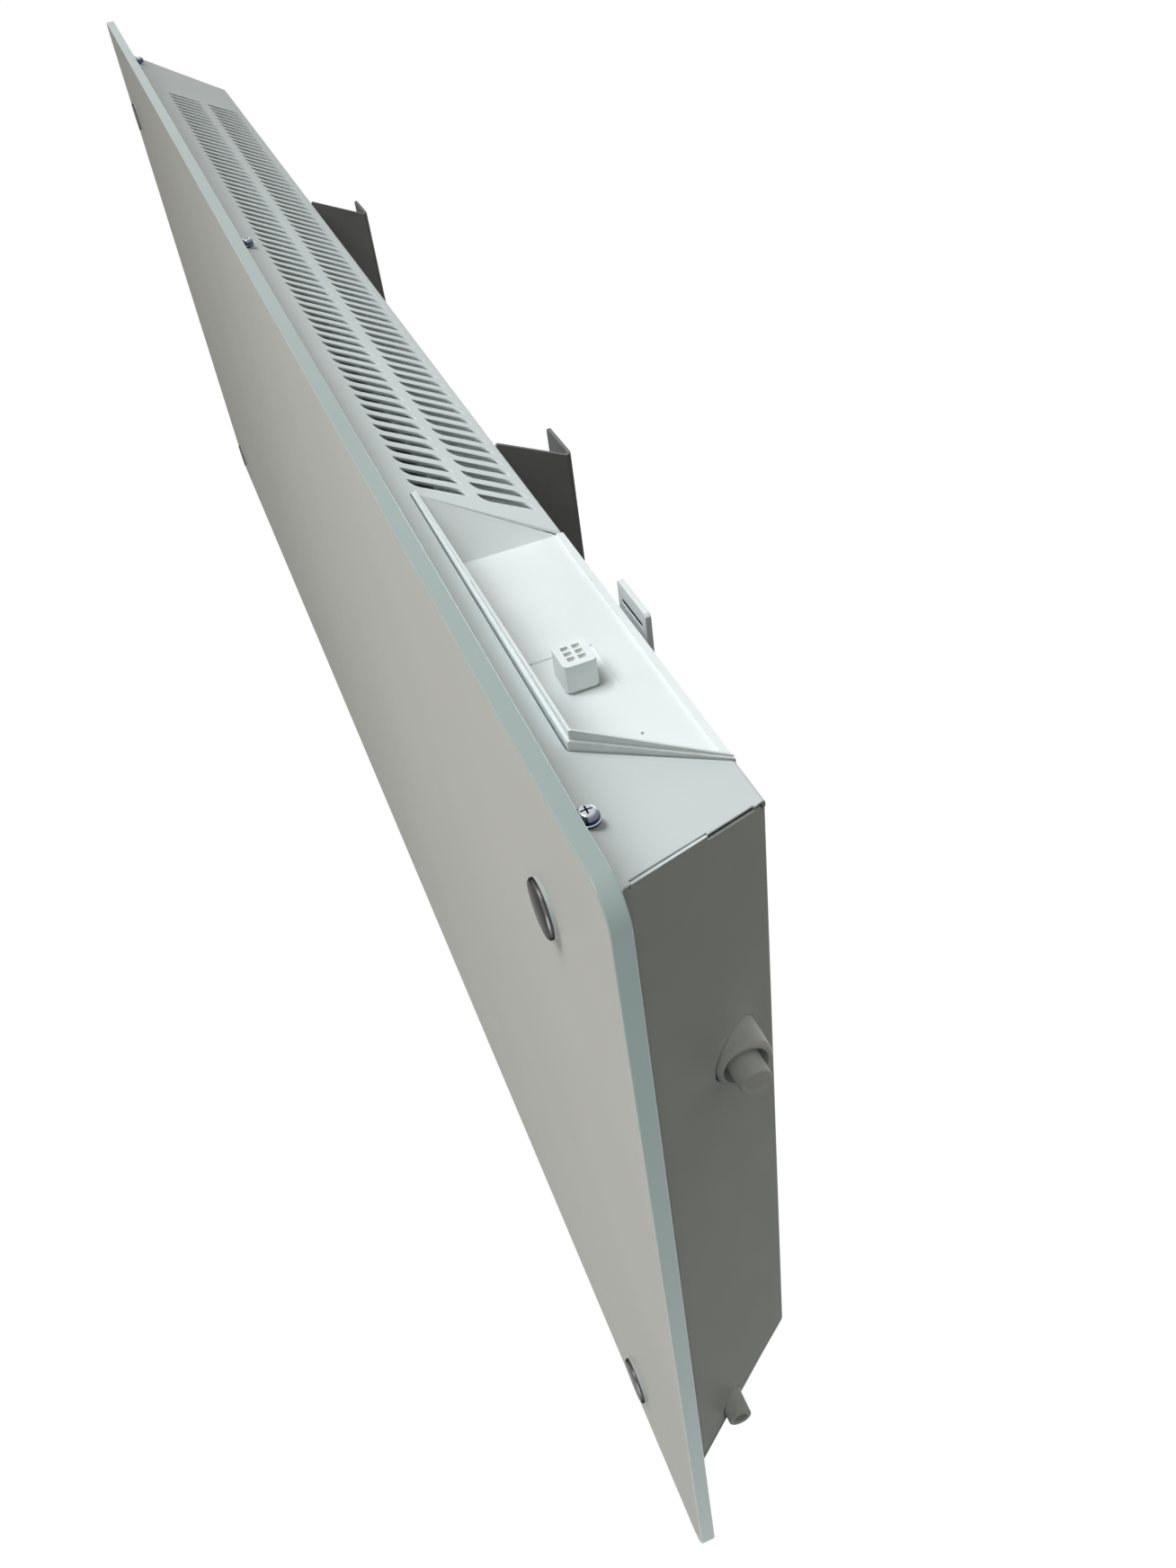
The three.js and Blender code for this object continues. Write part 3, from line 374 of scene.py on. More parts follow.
def rounded_loop(points: Sequence[Flat], radii: float | Sequence[float], steps: int) -> Loop:
    """Rounds the corners of a closed outline.

    Args:
        points: Corners of the outline.
        radii: One radius for all corners, or one for each.
        steps: Segments in each rounding.

    Returns:
        The outline with an arc at each corner.
    """
    corners = [Vector(point) for point in points]
    count = len(corners)
    sizes = [radii] * count if isinstance(radii, (int, float)) else radii
    loop: Loop = []
    for i, corner in enumerate(corners):
        loop += corner_arc(corners[i - 1], corner, corners[(i + 1) % count], sizes[i], steps)
    return loop


# Finishes

def noise(tree: Tree, size: float, place: Socket, detail: float = 2.0) -> Socket:
    """Adds a noise pattern.

    Args:
        tree: The tree that takes it.
        size: The real size of its features.
        place: The coordinates that it follows.
        detail: How many finer layers it has.

    Returns:
        The pattern's output.
    """
    settings = {"Scale": 1 / (size * MM), "Detail": detail}
    return add_node(tree, "ShaderNodeTexNoise", settings, {"Vector": place}).outputs["Fac"]


@dataclass(frozen=True)
class Finish:
    """A finish: the record's material slot, its colours, its gloss, the relief that its making leaves and any
    painted glow.
    """

    name: str
    slot: str
    colour: str
    shade_colour: str
    roughness: float
    metallic: float = 0.0
    ior: float = 1.5
    specular: float = 0.5
    grain: float = 1.5
    relief: float = 0.01
    cloud: float = 60.0
    cloud_detail: float = 3.0
    gloss_change: float = 0.05
    gloss_patch: float = 9.0
    least_roughness: float = 0.02
    stretch: Triple = (1.0, 1.0, 1.0)
    rim_tint: str = "#ffffff"
    # painted glow: emission that makes the surface shine though it is no lamp
    glow: float = 0.0
    glow_colour: str = "#ffffff"

    def material(self) -> Material:
        """Builds the node material once and gives it back after that.

        Returns:
            The material.
        """
        known = bpy.data.materials.get(self.name)
        if known:
            return known
        material = bpy.data.materials.new(self.name)
        tree = empty_tree(material)
        place = add_node(tree, "ShaderNodeTexCoord").outputs["Object"]
        drawn = add_node(tree, "ShaderNodeMapping", {"Scale": self.stretch}, {"Vector": place}).outputs[0]
        drift = add_node(tree, "ShaderNodeMapRange", {
            "To Min": max(self.roughness - self.gloss_change, self.least_roughness),
            "To Max": self.roughness + self.gloss_change},
            {"Value": noise(tree, self.grain * self.gloss_patch, drawn)})
        bumps = add_node(tree, "ShaderNodeBump", {"Distance": self.relief * MM},
                         {"Height": noise(tree, self.grain, drawn)})
        surface = add_node(tree, "ShaderNodeBsdfPrincipled", {
            "Metallic": self.metallic, "IOR": self.ior, "Specular IOR Level": self.specular,
            "Specular Tint": linear(self.rim_tint), "Emission Color": linear(self.glow_colour),
            "Emission Strength": self.glow}, {
            "Base Color": self.tint(tree, drawn), "Roughness": drift.outputs[0],
            "Normal": bumps.outputs["Normal"]})
        add_node(tree, "ShaderNodeOutputMaterial", links={"Surface": surface.outputs["BSDF"]})
        return material

    def tint(self, tree: Tree, place: Socket) -> Socket:
        """Mixes the two colours in soft clouds of the finish's own size.

        Args:
            tree: The material's tree.
            place: Object coordinates, stretched along the grain.

        Returns:
            The colour's output.
        """
        clouds = noise(tree, self.cloud, place, self.cloud_detail)
        low, high = CLOUD_RANGE
        spread = add_node(tree, "ShaderNodeMapRange", {"From Min": low, "From Max": high}, {"Value": clouds})
        mix = add_node(tree, "ShaderNodeMix", {
            "data_type": "RGBA", 6: linear(self.shade_colour), 7: linear(self.colour)},
            {0: spread.outputs[0]})
        return mix.outputs[2]


@dataclass(frozen=True)
class ChromeWithPaintedReflection(Finish):
    """Bright plate on a small dome, with a painted reflection: the colour stays pale above and is painted
    dark round its flank, as a room would mirror there.
    """

    # painted reflection: flank is the dark colour painted on the dome's flank, and the two heights of the
    # normal bound where it fades into the pale plate
    flank: str = "#2a3850"
    painted_reflection_low: float = 0.45
    painted_reflection_high: float = 0.97

    def tint(self, tree: Tree, place: Socket) -> Socket:
        """Paints a dark reflection on the plate where the dome turns down.

        Args:
            tree: The material's tree.
            place: Object coordinates.

        Returns:
            The colour's output.
        """
        level = add_node(tree, "ShaderNodeSeparateXYZ", links={
            0: add_node(tree, "ShaderNodeTexCoord").outputs["Normal"]})
        # painted reflection: dark where the normal points sideways, pale where it points up
        painted_reflection_share = add_node(tree, "ShaderNodeMapRange", {
            "From Min": self.painted_reflection_low, "From Max": self.painted_reflection_high}, {"Value": level.outputs["Z"]})
        mix = add_node(tree, "ShaderNodeMix", {"data_type": "RGBA", 6: linear(self.flank)},
                       {0: painted_reflection_share.outputs[0], 7: super().tint(tree, place)})
        return mix.outputs[2]


# Powder-coated sheet steel: the baked coat flows out to a satin skin with a fine orange peel of 1 to 2 mm.
ENAMEL_WHITE = Finish("powder_coated_steel_white", "white_enamel", "#e7f2f3", "#e2edee", 0.48,
                      specular=0.05, grain=1.6, relief=0.012, cloud=70)
# Injection-moulded styrene: brighter and smoother than the coat, with a faint spark-eroded grain.
PLASTIC_WHITE = Finish("moulded_styrene_white", "white_plastic", "#eff6f6", "#e8f0f1", 0.4, specular=0.12,
                       grain=0.5, relief=0.004, cloud=40)
# Float glass painted white on its back: the colour lies under a clear smooth face.
GLASS_FACE = Finish("back_painted_float_glass", "front_glass", "#cccdc5", "#c7c8c0", 0.5, ior=1.52,
                    specular=0.04, grain=6, relief=0.004, cloud=160, gloss_change=0.03)
# Ground and polished glass edge, pale green, with a painted glow: emission that stands in for the light
# travelling along the pane.
GLASS_EDGE = Finish("polished_glass_edge", "front_glass", "#7d8482", "#757c7a", 0.22, ior=1.52,
                    specular=0.3, grain=0.4, relief=0.003, cloud=30, stretch=(0.2, 1.0, 0.2), glow=0.22,
                    glow_colour="#d1f1ec")
# The paint on the back of the pane, dry and matt.
GLASS_PAINT = Finish("glass_back_paint", "front_glass", "#d5dad7", "#cdd2cf", 0.7, specular=0.2, grain=2,
                     relief=0.01)
# Dark decorative chrome on turned brass: almost a mirror, with a faint haze.
DARK_CHROME = Finish("dark_chrome_plate", "dark_chrome", "#6c6b6a", "#646362", 0.2, metallic=1.0, grain=0.6,
                     relief=0.0015, cloud=8, gloss_change=0.04, rim_tint="#7c7c7c")
# Silicone washer under each cap, milky grey, so that the metal stands off the glass, with a painted glow:
# emission that brightens it as if lit.
SILICONE_GREY = Finish("silicone_washer_grey", "soft_rubber", "#868d8c", "#7f8685", 0.5, specular=0.1,
                       grain=0.6, relief=0.005, cloud=6, glow=0.22, glow_colour="#e4f0ee")
# Bright nickel-chrome on the pan heads, a plain mirror with light wear, and a painted dark reflection round
# the flank of each dome.
BRIGHT_CHROME = ChromeWithPaintedReflection("bright_chrome_plate", "dark_chrome", "#cdd2d8", "#c2c8cf", 0.12, metallic=1.0,
                           grain=0.5, relief=0.002, cloud=5, gloss_change=0.05)
# Dark powder coat on the bracket: coarser and drier than the white one.
BRACKET_COAT = Finish("powder_coated_steel_dark", "bracket_steel", "#868787", "#7c7d7d", 0.6, specular=0.12,
                      grain=0.9, relief=0.02, cloud=35)
# Zinc plate, blue-white passivated: a soft metal sheen with cloudy patches.
ZINC_PLATE = Finish("zinc_plated_steel", "zinc_steel", "#b8bec2", "#a5abb0", 0.34, metallic=1.0, grain=0.8,
                    relief=0.004, cloud=6, gloss_change=0.08)
# Mill-finish aluminium, with rolling and extrusion lines along the radiator.
MILL_ALUMINIUM = Finish("mill_finish_aluminium", "raw_aluminium", "#bfc2c4", "#a9adb0", 0.38, metallic=1.0,
                        grain=0.7, relief=0.006, cloud=12, gloss_change=0.08, stretch=(0.04, 1.0, 1.0))
# Fired steatite, dry and slightly yellow.
STEATITE = Finish("fired_steatite", "ceramic_part", "#dcd5c4", "#d0c8b4", 0.75, specular=0.3, grain=0.4,
                  relief=0.02, cloud=5)
# Moulded rubber, dull black with bloom.
RUBBER = Finish("moulded_rubber", "soft_rubber", "#2c2d2f", "#242527", 0.85, specular=0.3, grain=0.5,
                relief=0.02, cloud=6)
# Glass-filled nylon, black, half matt.
NYLON_BLACK = Finish("glass_filled_nylon_black", "black_plastic", "#26272a", "#1f2022", 0.5, grain=0.5,
                     relief=0.01, cloud=10)
# Drawn brass, lightly dulled.
DRAWN_BRASS = Finish("drawn_brass", "brass_part", "#c9a65c", "#b08f4a", 0.3, metallic=1.0, grain=0.4,
                     relief=0.003, cloud=4)
# Silicone-sheathed lead, off-white, with a dry sheen.
LEAD_SHEATH = Finish("silicone_lead_sheath", "white_plastic", "#e2e2dc", "#d8d8d1", 0.55, specular=0.35,
                     grain=0.8, relief=0.01, cloud=20)


def seat(obj: Object, finish: Finish, body: str, *nodes: str) -> None:
    """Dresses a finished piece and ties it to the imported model.

    Args:
        obj: The piece.
        finish: Its finish.
        body: The body that it rides on.
        nodes: The nodes that it stands for.
    """
    obj.data.materials.clear()
    obj.data.materials.append(finish.material())
    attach(obj, body)
    if nodes:
        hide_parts(*nodes)
    LOG.info("%s: %d faces", obj.name, len(obj.data.polygons))


def four(kind: str) -> list[str]:
    """Lists the four nodes of a kind that has two at each end, one above the other."""
    return [f"{kind}_{side}_{level}" for side in ("right", "left") for level in ("upper", "lower")]


def dress(finish: Finish, *nodes: str) -> None:
    """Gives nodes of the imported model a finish."""
    for node in nodes:
        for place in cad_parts[node].material_slots:
            place.material = finish.material()
        LOG.info("%s: %s", node, finish.name)


# Node trees that repeat a piece

def start_tree(name: str, inputs: dict[str, str]) -> tuple[Tree, dict]:
    """Starts a geometry tree.

    Args:
        name: Name of the tree.
        inputs: Type of each named input after the geometry.

    Returns:
        The tree and the outputs of its group input node.
    """
    tree = bpy.data.node_groups.new(name, "GeometryNodeTree")
    for label, kind in {"Geometry": "NodeSocketGeometry", **inputs}.items():
        tree.interface.new_socket(label, in_out="INPUT", socket_type=kind)
    tree.interface.new_socket("Geometry", in_out="OUTPUT", socket_type="NodeSocketGeometry")
    return tree, add_node(tree, "NodeGroupInput").outputs


def end_tree(tree: Tree, geometry: Socket, finish: Finish) -> Tree:
    """Ends a geometry tree in Realize Instances and Set Material.

    Args:
        tree: The tree.
        geometry: The output that carries its geometry.
        finish: The finish of what it makes.

    Returns:
        The same tree.
    """
    real = add_node(tree, "GeometryNodeRealizeInstances", links={"Geometry": geometry})
    dressed = add_node(tree, "GeometryNodeSetMaterial", {"Material": finish.material()},
                       {"Geometry": real.outputs["Geometry"]})
    add_node(tree, "NodeGroupOutput", links={"Geometry": dressed.outputs["Geometry"]})
    return tree


def row_tree(finish: Finish) -> Tree:
    """Makes the tree that punches a row: it repeats a cut edge along a sheet and welds it in.

    Args:
        finish: The sheet's finish.

    Returns:
        The tree, with the inputs Rim, Count and Step.
    """
    tree, given = start_tree("punched_row", {
        "Rim": "NodeSocketObject", "Count": "NodeSocketInt", "Step": "NodeSocketVector"})
    rim = add_node(tree, "GeometryNodeObjectInfo", links={"Object": given["Rim"]})
    line = add_node(tree, "GeometryNodeMeshLine", {"mode": "OFFSET"},
                    {"Count": given["Count"], "Offset": given["Step"]})
    row = add_node(tree, "GeometryNodeInstanceOnPoints", links={
        "Points": line.outputs["Mesh"], "Instance": rim.outputs["Geometry"]})
    real = add_node(tree, "GeometryNodeRealizeInstances", links={"Geometry": row.outputs["Instances"]})
    joined = add_node(tree, "GeometryNodeJoinGeometry")
    for part in (real.outputs["Geometry"], given["Geometry"]):
        tree.links.new(part, joined.inputs["Geometry"])
    welded = add_node(tree, "GeometryNodeMergeByDistance", {"Distance": RIM_WELD},
                      {"Geometry": joined.outputs["Geometry"]})
    return end_tree(tree, welded.outputs["Geometry"], finish)


def place_tree(finish: Finish) -> Tree:
    """Makes the tree that sets one piece at every point of a mesh, such as a screw at its places.

    Args:
        finish: The finish of the pieces.

    Returns:
        The tree, with the inputs Piece and Turn, which is the turn from each copy to the next.
    """
    tree, given = start_tree("pieces_at_places", {"Piece": "NodeSocketObject", "Turn": "NodeSocketVector"})
    piece = add_node(tree, "GeometryNodeObjectInfo", links={"Object": given["Piece"]})
    index = add_node(tree, "GeometryNodeInputIndex")
    turn = add_node(tree, "ShaderNodeVectorMath", {"operation": "SCALE"},
                    {0: given["Turn"], "Scale": index.outputs[0]})
    placed = add_node(tree, "GeometryNodeInstanceOnPoints", links={
        "Points": given["Geometry"], "Instance": piece.outputs["Geometry"], "Rotation": turn.outputs[0]})
    return end_tree(tree, placed.outputs["Instances"], finish)


def set_tree(obj: Object, tree: Tree, values: dict[str, object]) -> None:
    """Gives an object a geometry tree as its modifier.

    Args:
        obj: The object.
        tree: The tree.
        values: A value for each of its named inputs, set by the input's identifier.
    """
    modifier = obj.modifiers.new(tree.name, "NODES")
    modifier.node_group = tree
    inputs = {item.name: item.identifier for item in tree.interface.items_tree if item.in_out == "INPUT"}
    for name, value in values.items():
        modifier[inputs[name]] = value


def repeat(name: str, piece: Object, places: Sequence[Triple], finish: Finish, body: str,
           nodes: Sequence[str] = (), turn: Triple = (0.0, 0.0, 0.0)) -> None:
    """Repeats one piece at places, makes the result a plain mesh and seats it.

    Args:
        name: Name of the result.
        piece: The piece, made at the origin. It is deleted.
        places: Where it stands.
        finish: Its finish.
        body: The body that it rides on.
        nodes: The nodes that it stands for.
        turn: The turn about each axis from each copy to the next, in degrees.
    """
    mesh = bpy.data.meshes.new(name)
    mesh.from_pydata([Vector(place) * MM for place in places], [], [])
    obj = link_object(name, mesh)
    set_tree(obj, place_tree(finish), {"Piece": piece, "Turn": [math.radians(angle) for angle in turn]})
    apply_modifiers(obj)
    drop(piece)
    seat(obj, finish, body, *nodes)


# Turned pieces

def turned(name: str, corners: Sequence[Triple], axis: Axis, sides: int, steps: int = 4,
           centre: Triple = (0.0, 0.0, 0.0)) -> Object:
    """Turns a profile round an axis. One that starts off the axis closes on itself, as a ring's does.

    Args:
        name: Name of the object.
        corners: Radius, place along the axis and rounding of each corner of the profile.
        axis: The direction of the axis.
        sides: Segments round the axis.
        steps: Segments in each rounding.
        centre: A point on the axis.

    Returns:
        The new object.
    """
    profile = rounded_loop([corner[:2] for corner in corners], [corner[2] for corner in corners], steps)
    bm = bmesh.new()
    rings = []
    for radius, place in profile:
        ring = []
        for a, b in circle(0, 0, radius, sides if radius > TINY else 1):
            spot = {Axis.X: (place, a, b), Axis.Y: (a, place, b), Axis.Z: (a, b, place)}[axis]
            ring.append(bm.verts.new((Vector(spot) + Vector(centre)) * MM))
        rings.append(ring)
    closing = [(rings[-1], rings[0])] if profile[0][0] > TINY else []
    for low, high in [*zip(rings, rings[1:]), *closing]:
        for i in range(sides):
            around = [low[i % len(low)], low[(i + 1) % len(low)], high[(i + 1) % len(high)],
                      high[i % len(high)]]
            bm.faces.new(list(dict.fromkeys(around)))
    bmesh.ops.recalc_face_normals(bm, faces=bm.faces)
    return shade(mesh_object(name, bm))


@dataclass(frozen=True)
class Screw:
    """A screw with a cross recess, whose head sits on the origin.

    The head's corners are (radius, height, rounding) from its crown to its seat, and the recess is (half
    length, half width, height of its floor). A side of -1 turns the head against the axis.
    """

    name: str
    head: Sequence[Triple]
    shank: float
    length: float
    tip: float
    recess: Triple
    axis: Axis = Axis.Y
    side: int = 1
    sides: int = 40
    steps: int = 5

    def build(self) -> Object:
        """Turns the screw and cuts its recess.

        Returns:
            The screw.
        """
        corners = [*self.head, (self.shank, 0, 0), (self.shank, -self.length, self.tip),
                   (0, -self.length, 0)]
        screw = turned(self.name, [(radius, height * self.side, rounding)
                                   for radius, height, rounding in corners],
                       self.axis, self.sides, self.steps)
        arm, half, floor = self.recess
        low, high = sorted((floor * self.side, (self.head[0][1] + OVERRUN) * self.side))
        tools = []
        for x, y in ((arm, half), (half, arm)):
            ends = ((-x, -y, low), (x, y, high)) if self.axis is Axis.Z else ((-x, low, -y), (x, high, y))
            tools.append(box_object("cross", *ends))
        return shade(boolean(screw, Join.CUT, *tools), angle=30)


def small_screw(name: str, radius: float, height: float, shank: float, length: float, side: int) -> Object:
    """Makes a plain pan-head screw along the depth of the radiator.

    Args:
        name: Name of the object.
        radius: Radius of the head.
        height: Height of the head.
        shank: Radius of the shank.
        length: Length of the shank.
        side: 1 where the head points to the wall and -1 where it points into the room.

    Returns:
        The screw.
    """
    crown_shares, rim_shares, recess_shares = (0.75, 0.97, 0.2), (0.45, 0.1), (0.5, 0.11, 0.4)
    seat_rounding, tip = 0.05, 0.2
    head = [(0, height, 0), (radius * crown_shares[0], height * crown_shares[1], radius * crown_shares[2]),
            (radius, height * rim_shares[0], radius * rim_shares[1]), (radius, 0, seat_rounding)]
    recess = (radius * recess_shares[0], radius * recess_shares[1], height * recess_shares[2])
    return Screw(name, head, shank, length, tip, recess, side=side).build()


# Folded sheet metal

class FoldLine:
    """The outer line of a folded sheet: straight runs with a bend at each corner, measured along itself."""

    def __init__(self, corners: Sequence[Flat], radii: Sequence[float] = (), steps: int = 10) -> None:
        """Works out the straight runs and the bends.

        Args:
            corners: The sharp corners of the line, with its two ends.
            radii: The outer radius of each bend.
            steps: Segments across each bend.
        """
        points = [Vector(corner) for corner in corners]
        self.ways = [(b - a).normalized() for a, b in zip(points, points[1:])]
        turns = [math.atan2(a.x * b.y - a.y * b.x, a.dot(b)) for a, b in zip(self.ways, self.ways[1:])]
        reaches = [0.0, *(radius * abs(math.tan(turn / 2)) for radius, turn in zip(radii, turns)), 0.0]
        self.stretches: list[tuple[float, Vector, float, float]] = []
        self.stations: list[float] = []
        self.length = 0.0
        for i, way in enumerate(self.ways):
            start = points[i] + way * reaches[i]
            heading = math.atan2(way.y, way.x)
            self.stretches.append((self.length, start, heading, 0.0))
            run = (points[i + 1] - points[i]).length - reaches[i] - reaches[i + 1]
            self.length += run
            if i < len(turns):
                arc = radii[i] * abs(turns[i])
                self.stretches.append((self.length, start + way * run, heading, turns[i] / arc))
                self.stations += [self.length + arc * k / steps for k in range(steps + 1)]
                self.length += arc

    def along(self, straight: int, point: Flat) -> float:
        """Gives the length along the line of a point on one of its straight runs."""
        start, origin = self.stretches[2 * straight][:2]
        return start + (Vector(point) - origin).dot(self.ways[straight])

    def place(self, length: float) -> tuple[Vector, Vector, Vector]:
        """Finds the point at a length along the line.

        Args:
            length: The length from the line's start, which may lie past either end.

        Returns:
            The point, the direction of the line there and the outward normal.
        """
        start, origin, heading, curve = next(
            (stretch for stretch in reversed(self.stretches) if length >= stretch[0]), self.stretches[0])
        run = length - start
        angle = heading + curve * run
        way = Vector((math.cos(angle), math.sin(angle)))
        normal = Vector((-way.y, way.x))
        if not curve:
            return origin + way * run, way, normal
        first_normal = Vector((-math.sin(heading), math.cos(heading)))
        return origin + (first_normal - normal) / curve, way, normal


@dataclass
class FoldedSheet:
    """A cut and folded sheet, made from its flat pattern.

    A place on the pattern is (length along the fold line, place along the run). Each of the holes in rows
    is repeated down the run, count times at a pitch. A side of -1 gives the mirror image.
    """

    name: str
    line: FoldLine
    run: Axis
    outline: Loop
    thickness: float
    edge: float
    holes: Sequence[Loop] = ()
    rows: Sequence[Loop] = ()
    count: int = 0
    pitch: float = 0.0
    side: int = 1
    least_opening: float = 0.3
    triangle_gap: float = 1e-5

    def at(self, flat: Flat, depth: float) -> tuple[Vector, Vector, Vector, Vector]:
        """Folds a point of the flat pattern into space.

        Args:
            flat: The point.
            depth: Its height over the outer face.

        Returns:
            The point in metres, and the directions of the fold line, of the run and out of the face.
        """
        point, way, normal = self.line.place(flat[0])
        spot = point + normal * depth
        if self.run is Axis.X:
            return (Vector((flat[1], spot.x, spot.y)) * MM, Vector((0, way.x, way.y)),
                    Vector((1, 0, 0)), Vector((0, normal.x, normal.y)))
        return (Vector((spot.x * self.side, spot.y, flat[1])) * MM, Vector((way.x * self.side, way.y, 0)),
                Vector((0, 0, 1)), Vector((normal.x * self.side, normal.y, 0)))

    def ready(self, loop: Loop, hole: bool) -> tuple[Loop, Loop]:
        """Turns a loop the right way and works out where it leans.

        Args:
            loop: The loop as given.
            hole: Whether it is a hole.

        Returns:
            The loop with points added at the bends, and for each point the way out of the material.
        """
        if (signed_area(loop) > 0) == hole:
            loop = loop[::-1]
        corners = [Vector(point) for point in loop]
        count = len(corners)
        ways = [(corners[(i + 1) % count] - corners[i]).normalized() for i in range(count)]
        sides = [Vector((way.y, -way.x)) for way in ways]
        leans = [(sides[i - 1] + sides[i]) / max(1 + sides[i - 1].dot(sides[i]), self.least_opening)
                 for i in range(count)]
        drawn = [corner - lean * self.edge for corner, lean in zip(corners, leans)]
        points: Loop = []
        outward: Loop = []
        for i in range(count):
            after = (i + 1) % count
            points.append(tuple(corners[i]))
            outward.append(tuple(leans[i]))
            run = drawn[after].x - drawn[i].x
            crossed = [(s - drawn[i].x) / run for s in self.line.stations] if abs(run) > TINY else []
            for share in sorted(c for c in crossed if TINY < c < 1 - TINY):
                points.append(tuple(corners[i].lerp(corners[after], share)))
                outward.append(tuple(leans[i].lerp(leans[after], share)))
        return points, outward

    def rim(self, bm: Mesh, points: Loop, outward: Loop) -> None:
        """Adds the rounded cut edge of one loop.

        Args:
            bm: The mesh that takes the faces.
            points: The loop.
            outward: For each point the way out of the material.
        """
        layer = bm.verts.layers.float_vector[EDGE_NORMAL]
        turns = [k / EDGE_STEPS * math.pi / 2 for k in range(EDGE_STEPS + 1)]
        rings = []
        for turn, side in [(t, 1) for t in turns] + [(t, -1) for t in reversed(turns)]:
            sunk, drawn = self.edge * (1 - math.cos(turn)), self.edge * (1 - math.sin(turn))
            depth = -sunk if side > 0 else sunk - self.thickness
            ring = []
            for point, way in zip(points, outward):
                flat = (point[0] - way[0] * drawn, point[1] - way[1] * drawn)
                place, fold, along, out = self.at(flat, depth)
                across = (fold * way[0] + along * way[1]).normalized()
                vertex = bm.verts.new(place)
                vertex[layer] = out * math.cos(turn) * side + across * math.sin(turn)
                ring.append(vertex)
            rings.append(ring)
        for upper, lower in zip(rings, rings[1:]):
            for i in range(len(upper)):
                bm.faces.new((upper[i - 1], upper[i], lower[i], lower[i - 1]))

    def faces(self, bm: Mesh, loops: list[Loop]) -> None:
        """Fills the outer and the inner face between the loops.

        Args:
            bm: The mesh that takes the faces.
            loops: The outline and then the holes, each drawn in by the rounding of its edge.
        """
        points: list[Vector] = []
        edges: list[tuple[int, int]] = []
        rounds: list[list[int]] = []
        for loop in loops:
            corners = list(range(len(points), len(points) + len(loop)))
            points += [Vector(point) for point in loop]
            edges += zip(corners, corners[1:] + corners[:1])
            rounds.append(corners if signed_area(loop) > 0 else corners[::-1])
        for station in self.line.stations:
            crossing = sorted((p.y, i) for i, p in enumerate(points) if abs(p.x - station) < TINY)
            edges += [(a[1], b[1]) for a, b in zip(crossing[::2], crossing[1::2])]
        found, _, triangles, _, _, origins = delaunay_2d_cdt(
            points, edges, rounds, 1, self.triangle_gap, True)
        kept = [triangle for triangle, origin in zip(triangles, origins) if origin == [0]]
        layer = bm.verts.layers.float_vector[EDGE_NORMAL]
        for depth, side in ((0.0, 1), (-self.thickness, -1)):
            made = []
            for point in found:
                place, _, _, out = self.at(tuple(point), depth)
                vertex = bm.verts.new(place)
                vertex[layer] = out * side
                made.append(vertex)
            for triangle in kept:
                bm.faces.new([made[i] for i in triangle])

    def start(self) -> Mesh:
        """Starts a mesh whose points carry normals.

        Returns:
            The mesh, still empty.
        """
        bm = bmesh.new()
        bm.verts.layers.float_vector.new(EDGE_NORMAL)
        return bm

    def punch(self, sheet: Object, finish: Finish) -> None:
        """Repeats the cut edges of the rows along the sheet.

        Args:
            sheet: The sheet, open at the holes of its rows.
            finish: Its finish.
        """
        tree = row_tree(finish)
        rims = []
        for hole in self.rows:
            bm = self.start()
            self.rim(bm, *self.ready(hole, hole=True))
            rims.append(mesh_object("hole_rim", bm))
            set_tree(sheet, tree, {"Rim": rims[-1], "Count": self.count, "Step": (-self.pitch * MM, 0, 0)})
        apply_modifiers(sheet)
        drop(*rims)

    def build(self, finish: Finish, body: str, node: str) -> Object:
        """Builds the sheet and seats it.

        Args:
            finish: Its finish.
            body: The body that it rides on.
            node: The node that it stands for.

        Returns:
            The object with a plain mesh, and with the normals that its edges were made with.
        """
        in_rows = [[(s, x - i * self.pitch) for s, x in hole]
                   for hole in self.rows for i in range(self.count)]
        bm = self.start()
        loops = []
        for index, loop in enumerate([self.outline, *self.holes, *in_rows]):
            points, outward = self.ready(loop, index > 0)
            loops.append([(p[0] - way[0] * self.edge, p[1] - way[1] * self.edge)
                          for p, way in zip(points, outward)])
            if index <= len(self.holes):
                self.rim(bm, points, outward)
        self.faces(bm, loops)
        bmesh.ops.remove_doubles(bm, verts=bm.verts, dist=WELD)
        sheet = mesh_object(self.name, bm)
        if self.rows:
            self.punch(sheet, finish)
        bm = merged(sheet.data)
        bmesh.ops.recalc_face_normals(bm, faces=bm.faces)
        bm.to_mesh(sheet.data)
        bm.free()
        normals = sheet.data.attributes[EDGE_NORMAL]
        sheet.data.polygons.foreach_set("use_smooth", [True] * len(sheet.data.polygons))
        sheet.data.normals_split_custom_set_from_vertices(
            [Vector(item.vector).normalized() for item in normals.data])
        sheet.data.attributes.remove(sheet.data.attributes[EDGE_NORMAL])
        seat(sheet, finish, body, node)
        return sheet


# Sizes that the pieces share

